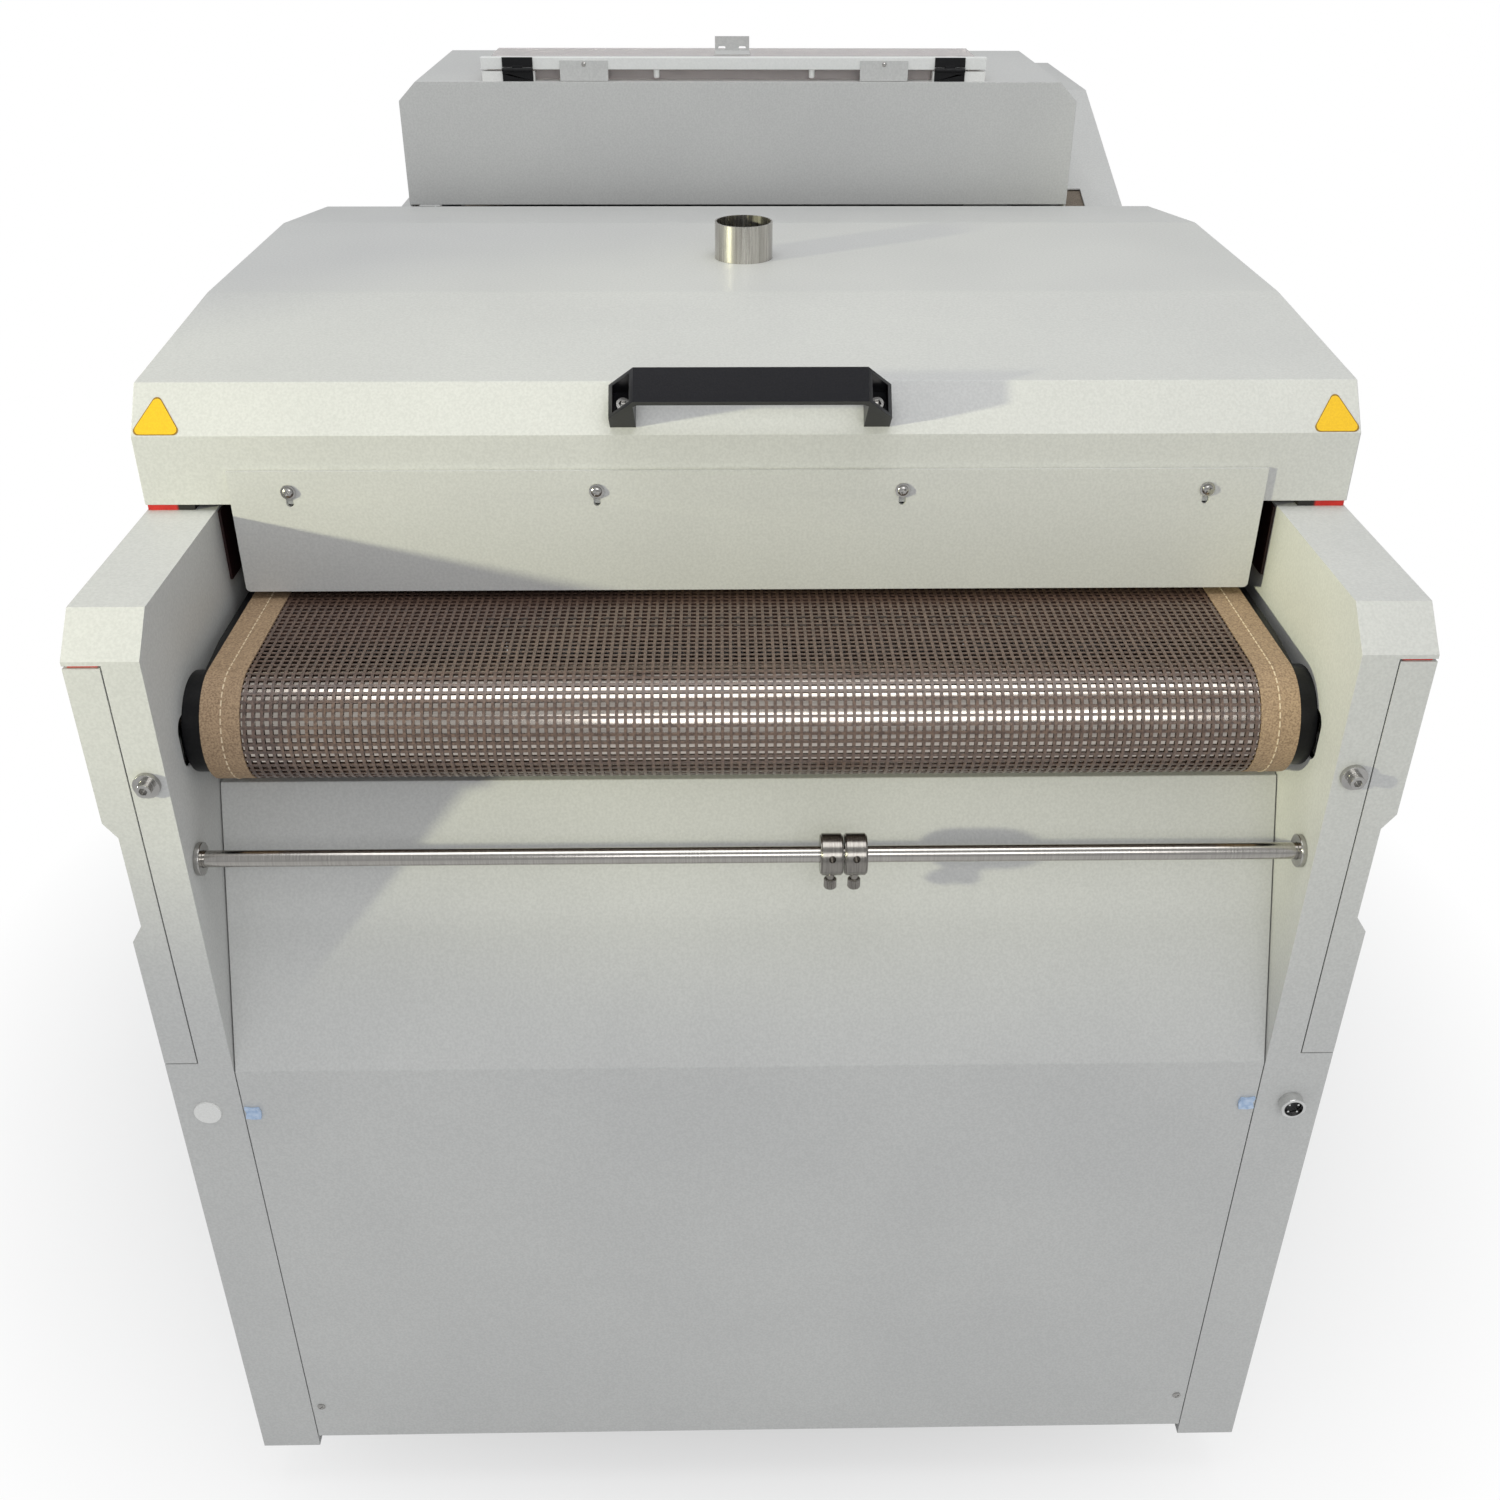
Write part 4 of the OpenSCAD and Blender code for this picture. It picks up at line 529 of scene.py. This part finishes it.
# Fittings on the housings' fronts
# White and black plugs close spare holes on the left, a chrome socket on the right takes
# the printer's lead, and a cap screw with a washer on each side sets the belt's tension.
white_nylon = moulded("white_nylon", (0.86, 0.86, 0.84), (0.80, 0.80, 0.78), 0.38)
softened("hole_plug", white_nylon, 0.0009, 3)
chrome = metal("chrome_plate", (0.78, 0.78, 0.77), (0.66, 0.66, 0.65), 0.10, 0.01)
softened("signal_connector", chrome, 0.0006)
softened("tension_screws", screw_steel, 0.0005)
socket_low, socket_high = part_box("signal_connector")
socket_middle = (socket_low + socket_high) / 2
insert_r = 0.0070
insert_in = 0.0055
insert_profile = [(0, insert_r), (0.0006, insert_r * 0.98), (0.0008, insert_r * 0.9)]
points, faces = [], []
insert_foot = (socket_middle.x, socket_low.y + insert_in, socket_middle.z)
turned(points, faces, insert_profile, insert_foot, to_front)
made("socket_insert", points, faces, black_nylon, "cabinet", True)

plug_y = -0.5340
plug_z = 0.8131
plug_profile = [(0, 0.0036), (0.0008, 0.0036), (0.0012, 0.0030)]
points, faces = [], []
plug_foot = (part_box("inner_wall_left")[1].x, plug_y, plug_z)
turned(points, faces, plug_profile, plug_foot, (1, 0, 0), 20)
made("wall_plug", points, faces, black_nylon, "cabinet", True)

# Conveyor
# Black side rails carry the belt's platform and the bearings of both steel rollers.
# A geared motor under the rear roller drives it by a roller chain in the right housing.
black_coat = powder_coat("black_powder_coat", (0.009, 0.009, 0.010), (0.006, 0.006, 0.007), 0.34,
                         gloss=0.2)
roller_steel = metal("roller_steel", (0.62, 0.56, 0.50), (0.50, 0.45, 0.40), 0.13, 0.0016,
                     (0.02, 1, 1))
motor_coat = powder_coat("motor_paint", (0.050, 0.060, 0.075), (0.036, 0.044, 0.056), 0.40)
chain_steel = metal("chain_steel", (0.34, 0.33, 0.31), (0.20, 0.19, 0.18), 0.40, 0.0032)
rust_steel = metal("platform_sheet", (0.20, 0.13, 0.11), (0.12, 0.08, 0.07), 0.55, 0.02)
softened("conveyor_rails", black_coat, 0.0012)
coat(rust_steel, "platform_plate")
coat(roller_steel, "nose_roller", "drive_roller")
coat(screw_steel, "motor_sprocket")
softened("drive_motor", motor_coat, 0.0015)
coat(chain_steel, "drive_chain")

# Mesh belt
# Coated glass-fibre yarn woven to an open square mesh, with folded tan tape sewn
# over both edges and a lace joint across it. It runs round both rollers.
belt_low, belt_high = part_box("mesh_belt")
belt_half_t = 0.0006
belt_outer = (belt_high.z - belt_low.z) / 2
belt_mid_r = belt_outer - belt_half_t
belt_mid_z = (belt_high.z + belt_low.z) / 2
belt_front_y = belt_low.y + belt_outer
belt_rear_y = belt_high.y - belt_outer
belt_half_w = (belt_high.x - belt_low.x) / 2
belt_run = belt_rear_y - belt_front_y
belt_turn = pi * belt_mid_r
belt_length = 2 * (belt_run + belt_turn)
tape_w = 0.027
mesh_pitch = 0.006
yarn_w = 0.0022
warp_lifts = (-0.0001, 0.00052)
weft_lifts = (-0.00052, 0.0002)
weft_overlap = 0.003
turn_steps = 36


def on_belt(along, lift):
    """Point of the belt's side view, at a length along it from the front of its top run."""
    along %= belt_length
    reach = belt_mid_r + lift
    if along < belt_run:
        return belt_front_y + along, belt_mid_z + reach
    along -= belt_run
    if along < belt_turn:
        turn = along / belt_mid_r
        return belt_rear_y + reach * sin(turn), belt_mid_z + reach * cos(turn)
    along -= belt_turn
    if along < belt_run:
        return belt_rear_y - along, belt_mid_z - reach
    turn = (along - belt_run) / belt_mid_r
    return belt_front_y - reach * sin(turn), belt_mid_z - reach * cos(turn)


belt_marks = [start + belt_turn * k / turn_steps
              for start in (belt_run, 2 * belt_run + belt_turn) for k in range(turn_steps + 1)]


def belt_strip(points, faces, x_low, x_high, low, high, marks, closed=False):
    """Adds a flat strip that follows the belt between two widths and two heights."""
    first = len(points)
    for along in marks:
        for x, lift in ((x_low, low), (x_high, low), (x_high, high), (x_low, high)):
            points.append((x, *on_belt(along, lift)))
    skinned(faces, first, 4, len(marks), closed)


yarn = moulded("coated_yarn", (0.150, 0.096, 0.072), (0.062, 0.037, 0.029), 0.30, 0.0022, 0.0003,
               gloss=0.8, detail=3.0)
points, faces = [], []
mesh_edge = belt_half_w - tape_w
strand_count = int(2 * mesh_edge / mesh_pitch)
for k in range(strand_count + 1):
    strand_x = (k - strand_count / 2) * mesh_pitch
    belt_strip(points, faces, strand_x - yarn_w / 2, strand_x + yarn_w / 2, *warp_lifts,
               belt_marks, closed=True)
bar_count = round(belt_length / mesh_pitch)
for k in range(bar_count):
    along = k * belt_length / bar_count
    belt_strip(points, faces, -mesh_edge - weft_overlap, mesh_edge + weft_overlap, *weft_lifts,
               [along - yarn_w / 2, along, along + yarn_w / 2])
belt_mesh = made("woven_belt_mesh", points, faces, yarn, "cabinet")
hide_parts("mesh_belt")

tape = moulded("tan_edge_tape", (0.42, 0.295, 0.180), (0.235, 0.155, 0.092), 0.7, 0.0013, 0.0004,
               detail=3.0)
points, faces = [], []
for side_sign in (-1, 1):
    edges = sorted((side_sign * mesh_edge, side_sign * belt_half_w))
    belt_strip(points, faces, *edges, -belt_half_t, belt_half_t, belt_marks, closed=True)
made("sewn_edge_tape", points, faces, tape, "cabinet")

thread = moulded("pale_thread", (0.74, 0.62, 0.44), (0.60, 0.47, 0.32), 0.6)
thread_w = 0.0009
thread_h = 0.0003
stitch_pitch = 0.0062
stitch_length = 0.0042
stitch_in = 0.47
points, faces = [], []
stitch_count = round(belt_length / stitch_pitch)
for side_sign in (-1, 1):
    stitch_x = side_sign * (mesh_edge + tape_w * stitch_in)
    for k in range(stitch_count):
        along = k * belt_length / stitch_count
        belt_strip(points, faces, stitch_x - thread_w / 2, stitch_x + thread_w / 2,
                   belt_half_t, belt_half_t + thread_h,
                   [along - stitch_length / 2, along, along + stitch_length / 2])
made("tape_stitches", points, faces, thread, "cabinet")

lace = moulded("dark_lace", (0.030, 0.018, 0.016), (0.018, 0.011, 0.010), 0.5)
lace_rows = (0.0626, 0.0752)
lace_pitch = 2 * mesh_pitch
lace_reach = 0.19
lace_half_w = 0.0024
lace_half_l = 0.0013
lace_lifts = (0.0004, 0.0006)
points, faces = [], []
lace_count = round(2 * lace_reach / lace_pitch)
for row_along in lace_rows:
    for k in range(lace_count + 1):
        lace_x = -lace_reach + k * lace_pitch
        belt_strip(points, faces, lace_x - lace_half_w, lace_x + lace_half_w, *lace_lifts,
                   [row_along - lace_half_l, row_along + lace_half_l])
made("belt_lace", points, faces, lace, "cabinet")

# Take-up rod
# A ground steel rod turns in a flanged bearing at each end and is driven on the right.
# Two collars slide on it and hold a film roll, each locked by a small thumb screw.
rod_steel = metal("ground_rod", (0.50, 0.48, 0.45), (0.40, 0.38, 0.355), 0.16, 0.0012,
                  (1, 0.05, 0.05))
collar_steel = metal("turned_collar", (0.30, 0.285, 0.26), (0.22, 0.205, 0.19), 0.22, 0.0009,
                     (1, 0.05, 0.05))
coat(rod_steel, "take_up_rod")
softened("rod_bearings", screw_steel, 0.0007)
softened("take_up_motor", motor_coat, 0.001)
softened("collar_left", collar_steel, 0.0004)
softened("collar_right", collar_steel, 0.0004)
thumb_ribs = 22
thumb_ring = 2 * thumb_ribs
thumb_tip_h = 0.0008
thumb_tip = [(0, 0.0026), (0.0009, 0.0030)]
thumb_neck_r = 0.0029
knurl_h = 0.008
knurl_valley = 0.90
knurl_rows = [(0, 0.82), (0.0007, 1.0), (0.0073, 1.0), (knurl_h, 0.82)]
for side_name in ("left", "right"):
    thumb_low, thumb_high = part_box("thumb_screw_" + side_name)
    thumb_middle = (thumb_low + thumb_high) / 2
    thumb_x, thumb_y = thumb_middle.x, thumb_middle.y
    thumb_r = (thumb_high.x - thumb_low.x) / 2
    head_z = thumb_low.z + thumb_tip_h
    neck_z = head_z + knurl_h
    points, faces = [], []
    thumb_neck = [(0, thumb_neck_r), (thumb_high.z - neck_z, thumb_neck_r)]
    turned(points, faces, thumb_tip, (thumb_x, thumb_y, thumb_low.z), (0, 0, 1), 24)
    turned(points, faces, thumb_neck, (thumb_x, thumb_y, neck_z), (0, 0, 1), 24)
    first = len(points)
    for lift, share in knurl_rows:
        for k in range(thumb_ring):
            reach = thumb_r * share * (1.0 if k % 2 == 0 else knurl_valley)
            turn = pi * k / thumb_ribs
            points.append((thumb_x + reach * cos(turn), thumb_y + reach * sin(turn), head_z + lift))
    skinned(faces, first, thumb_ring, len(knurl_rows))
    thumb = made("knurled_thumb_screw_" + side_name, points, faces, collar_steel,
                 "thumb_" + side_name)
    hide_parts("thumb_screw_" + side_name)

# Hood
# The oven's lid is one folded and welded sheet, hinged at the back. A slotted flap
# hangs on four screws at its front, and a bare steel tube takes the exhaust hose.
softened("hood_shell", grey_coat, 0.0012)
softened("exit_flap", grey_coat, 0.0006)
tube_steel = metal("brushed_tube", (0.60, 0.58, 0.54), (0.42, 0.40, 0.37), 0.26, 0.0016,
                   (1, 1, 0.03))
coat(tube_steel, "exhaust_stub")
handle_coat = powder_coat("black_handle_coat", (0.008, 0.008, 0.011), (0.005, 0.005, 0.008), 0.30,
                          0.0012, 0.22)
hood_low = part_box("hood_shell")[0]
fold_start = 0.052
fold_run = 0.026
fold_rise = 0.031
fold_foot = Vector((0, hood_low.y, hood_low.z + fold_start))
fold_up = Vector((0, fold_run, fold_rise)).normalized()
fold_out = Vector((0, -fold_up.z, fold_up.y))
handle = softened("hood_handle", handle_coat, 0.0010, 3)
recess_x = 0.0905
recess_up = 0.0182
recess_out = 0.0345
recess_half = (0.0065, 0.0100, 0.0255)
recesses = []
for side_sign in (-1, 1):
    recess_middle = (fold_foot + Vector((side_sign * recess_x, 0, 0))
                     + fold_up * recess_up + fold_out * recess_out)
    recesses.append((recess_middle, Vector((recess_half[0], 0, 0)), fold_up * recess_half[1],
                     fold_out * recess_half[2]))
carved(handle, recesses)
softened("handle_screws", screw_steel, 0.0004)
screws_low, screws_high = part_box("flap_screws")
flap_head_r = (screws_high.z - screws_low.z) / 2
flap_head_h = 0.003
flap_screw_z = (screws_high.z + screws_low.z) / 2
flap_span = screws_high.x - screws_low.x - 2 * flap_head_r
flap_profile = [(0, flap_head_r), (0.0007, flap_head_r), (0.0008, flap_head_r * 0.74),
                (0.0020, flap_head_r * 0.70), (0.0027, flap_head_r * 0.56),
                (flap_head_h, flap_head_r * 0.30)]
flap_shank = [(0, 0.002), (0.012, 0.002)]
flap_recess_in = 0.0002
points, faces, spots = [], [], []
for k in range(4):
    head_x = screws_low.x + flap_head_r + k * flap_span / 3
    foot = (head_x, screws_low.y + flap_head_h, flap_screw_z)
    turned(points, faces, flap_profile, foot, to_front, 28)
    turned(points, faces, flap_shank, foot, (0, 1, 0), 20)
    spots.append((head_x, screws_low.y + flap_recess_in, flap_screw_z))
flap_heads = made("pan_head_screws", points, faces, screw_steel, "hood", True)
cross_cut(flap_heads, spots, to_front, reach=flap_head_r * 0.46, width=0.0007, depth=0.0016)
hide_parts("flap_screws")

# Corner patches on the hood
# A plain yellow triangle of vinyl lies on the steep fold near each corner.
patch_vinyl = moulded("yellow_vinyl", (0.84, 0.52, 0.012), (0.78, 0.46, 0.010), 0.35)
patch_rim = moulded("patch_rim", (0.30, 0.17, 0.010), (0.26, 0.14, 0.008), 0.4)
patch_side = 0.037
patch_corner = 0.0035
patch_up = 0.0115
patch_x = 0.4225
patch_foot = 0.00005
patch_rim_w = 0.0011
tip_steps = 6


def triangle_ring(centre, side, corner):
    """Corner points of a triangle with rounded tips on the fold, from its middle."""
    ring = []
    inner = (side - 2 * corner * 3 ** 0.5) / 3 ** 0.5
    for tip in range(3):
        tip_turn = pi / 2 + tip * 2 * pi / 3
        for step in range(tip_steps + 1):
            turn = tip_turn - pi / 3 + step * 2 * pi / 3 / tip_steps
            across = inner * cos(tip_turn) + corner * cos(turn)
            upward = inner * sin(tip_turn) + corner * sin(turn)
            ring.append(centre + Vector((across, 0, 0)) + fold_up * upward)
    return ring


for patch_name, patch_finish, patch_size, patch_lift in (
        ("patch_rims", patch_rim, patch_side, 0.0002),
        ("yellow_patches", patch_vinyl, patch_side - 2 * patch_rim_w, 0.0003)):
    points, faces = [], []
    for side_sign in (-1, 1):
        middle = fold_foot + fold_up * patch_up + Vector((side_sign * patch_x, 0, 0))
        ring = triangle_ring(middle, patch_size, patch_corner)
        plated(points, faces, [spot + fold_out * patch_lift for spot in ring],
               [spot + fold_out * patch_foot for spot in ring])
    made(patch_name, points, faces, patch_finish, "hood")

# Oven inside and hood hinges
# Infra-red tubes hang under a bright tray in the hood, over dark lined walls.
# The hood turns on two pairs of steel hinges on the rear bridge.
liner_coat = powder_coat("liner_coat", (0.030, 0.008, 0.008), (0.014, 0.005, 0.005), 0.5)
quartz = moulded("quartz_tube", (0.72, 0.68, 0.62), (0.62, 0.56, 0.50), 0.12, 0.02)
mirror_sheet = metal("reflector_sheet", (0.80, 0.80, 0.81), (0.68, 0.68, 0.69), 0.16, 0.03)
coat(liner_coat, "oven_liners")
coat(quartz, "heater_tubes")
coat(mirror_sheet, "heat_reflector")
softened("hood_hinge_arms", zinc, 0.0005)
softened("hood_hinge_bases", zinc, 0.0005)

# Powder hopper
# A folded box across the back holds a vee trough, and a ribbed roller under its slot
# meters the powder on to the film. A small geared motor turns the roller.
softened("hopper_box", grey_coat, 0.0010)
softened("powder_trough", zinc, 0.0006)
sponge = moulded("metering_sponge", (0.045, 0.045, 0.050), (0.020, 0.020, 0.024), 0.8,
                 0.003, 0.0006)
coat(sponge, "metering_roller")
softened("feed_motor", motor_coat, 0.0012)

# Hopper window and lid
# A clear acrylic lid on two black hinges closes an acrylic frame over the trough.
# Its front edge is stiffened by a white bar with two folded tabs.
shadow_share = 0.94
hinge_block_d = 0.0102
tab_screw_out = 0.158
tab_screw_up = 0.0055
tab_profile = [(0, 0.0024), (0.0005, 0.0023), (0.0009, 0.0014)]
peg_out = 0.082
peg_r = 0.003
peg_h = 0.0085
peg_profile = [(0, peg_r), (peg_h - 0.0008, peg_r), (peg_h, peg_r * 0.7)]


def clear_plastic(name, tint, roughness):
    """Tinted sheet that lets most of the light through."""
    finish, tree, shader = new_finish(name)
    tone, height = mottled(tree, tint, tuple(shadow_share * c for c in tint), 0.02)
    wired(tree, (tone, shader.inputs["Base Color"]))
    shader.inputs["Roughness"].default_value = roughness
    shader.inputs["Transmission Weight"].default_value = 0.62
    shader.inputs["IOR"].default_value = 1.3
    bumped(tree, shader, height, 0.0002, 0.2)
    return finish


acrylic = clear_plastic("pink_clear_acrylic", (0.90, 0.84, 0.82), 0.12)
bar_white = powder_coat("white_bar_coat", (0.84, 0.85, 0.83), (0.80, 0.81, 0.79), 0.35)
softened("window_frame", acrylic, 0.0005)
softened("lid_window", acrylic, 0.0005)
softened("lid_bar", bar_white, 0.0008)
softened("lid_brackets", grey_coat, 0.0004)
hinge_bases = softened("lid_hinge_bases", black_coat, 0.0003)
hinge_bases.data.materials.append(white_nylon)
hinge_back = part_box("lid_hinge_bases")[1].y
for face in hinge_bases.data.polygons:
    if face.center.y > hinge_back - hinge_block_d:
        face.material_index = 1
softened("lid_hinge_leaves", black_coat, 0.0003)
bar_low, bar_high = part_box("lid_bar")
bar_middle = (bar_low + bar_high) / 2
tabs_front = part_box("lid_brackets")[0].y
points, faces = [], []
for side_sign in (-1, 1):
    tab_screw_x = bar_middle.x + side_sign * tab_screw_out
    turned(points, faces, tab_profile, (tab_screw_x, tabs_front, bar_low.z + tab_screw_up),
           to_front, 20)
made("tab_screws", points, faces, screw_steel, "lid", True)
points, faces = [], []
for side_sign in (-1, 1):
    peg_foot = (bar_middle.x + side_sign * peg_out, bar_middle.y, bar_low.z)
    turned(points, faces, peg_profile, peg_foot, (0, 0, -1), 20)
made("lid_bumpers", points, faces, white_nylon, "lid", True)

# Console
# A slim sheet case on the right housing widens at the back to carry the controls:
# a blank touch screen, a mushroom stop button and a turn knob.
softened("console_shell", grey_coat, 0.0010)
felt = moulded("taupe_felt", (0.235, 0.195, 0.155), (0.155, 0.128, 0.100), 0.85, 0.0015, 0.0004)
console_low, console_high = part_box("console_shell")
roof_foot = console_low.z + 0.0241
roof_slope = 0.3507
vent_near, vent_far = 0.094, 0.134
vent_left, vent_right = 0.0685, 0.0415
felt_under = 0.0035
felt_t = 0.001
box_faces = [(0, 1, 2, 3), (4, 5, 6, 7), (0, 1, 5, 4), (1, 2, 6, 5), (2, 3, 7, 6), (3, 0, 4, 7)]
points = []
for felt_lift in (0, felt_t):
    for felt_y, felt_x in ((vent_near, vent_left), (vent_near, vent_right),
                           (vent_far, vent_right), (vent_far, vent_left)):
        points.append((console_high.x - felt_x, console_low.y + felt_y,
                       roof_foot + felt_y * roof_slope - felt_under - felt_lift))
made("vent_felt", points, box_faces, felt, "cabinet")
screen_glass = moulded("screen_glass", (0.010, 0.012, 0.016), (0.008, 0.009, 0.012), 0.06,
                       0.02, 0.00001, 0.6)
red_button = moulded("red_button", (0.62, 0.016, 0.012), (0.55, 0.012, 0.010), 0.30)
softened("touch_screen", screen_glass, 0.0012)
softened("emergency_stop", red_button, 0.002, 4)
softened("power_knob", black_nylon, 0.0012, 3)

# Film and powder path at the back
# A guide roller leads the film in, a finned shaft beats surplus powder off it,
# and a long tray below catches what falls.
coat(roller_steel, "infeed_roller")
softened("beater_shaft", zinc, 0.0005)
softened("powder_tray", zinc, 0.0008)
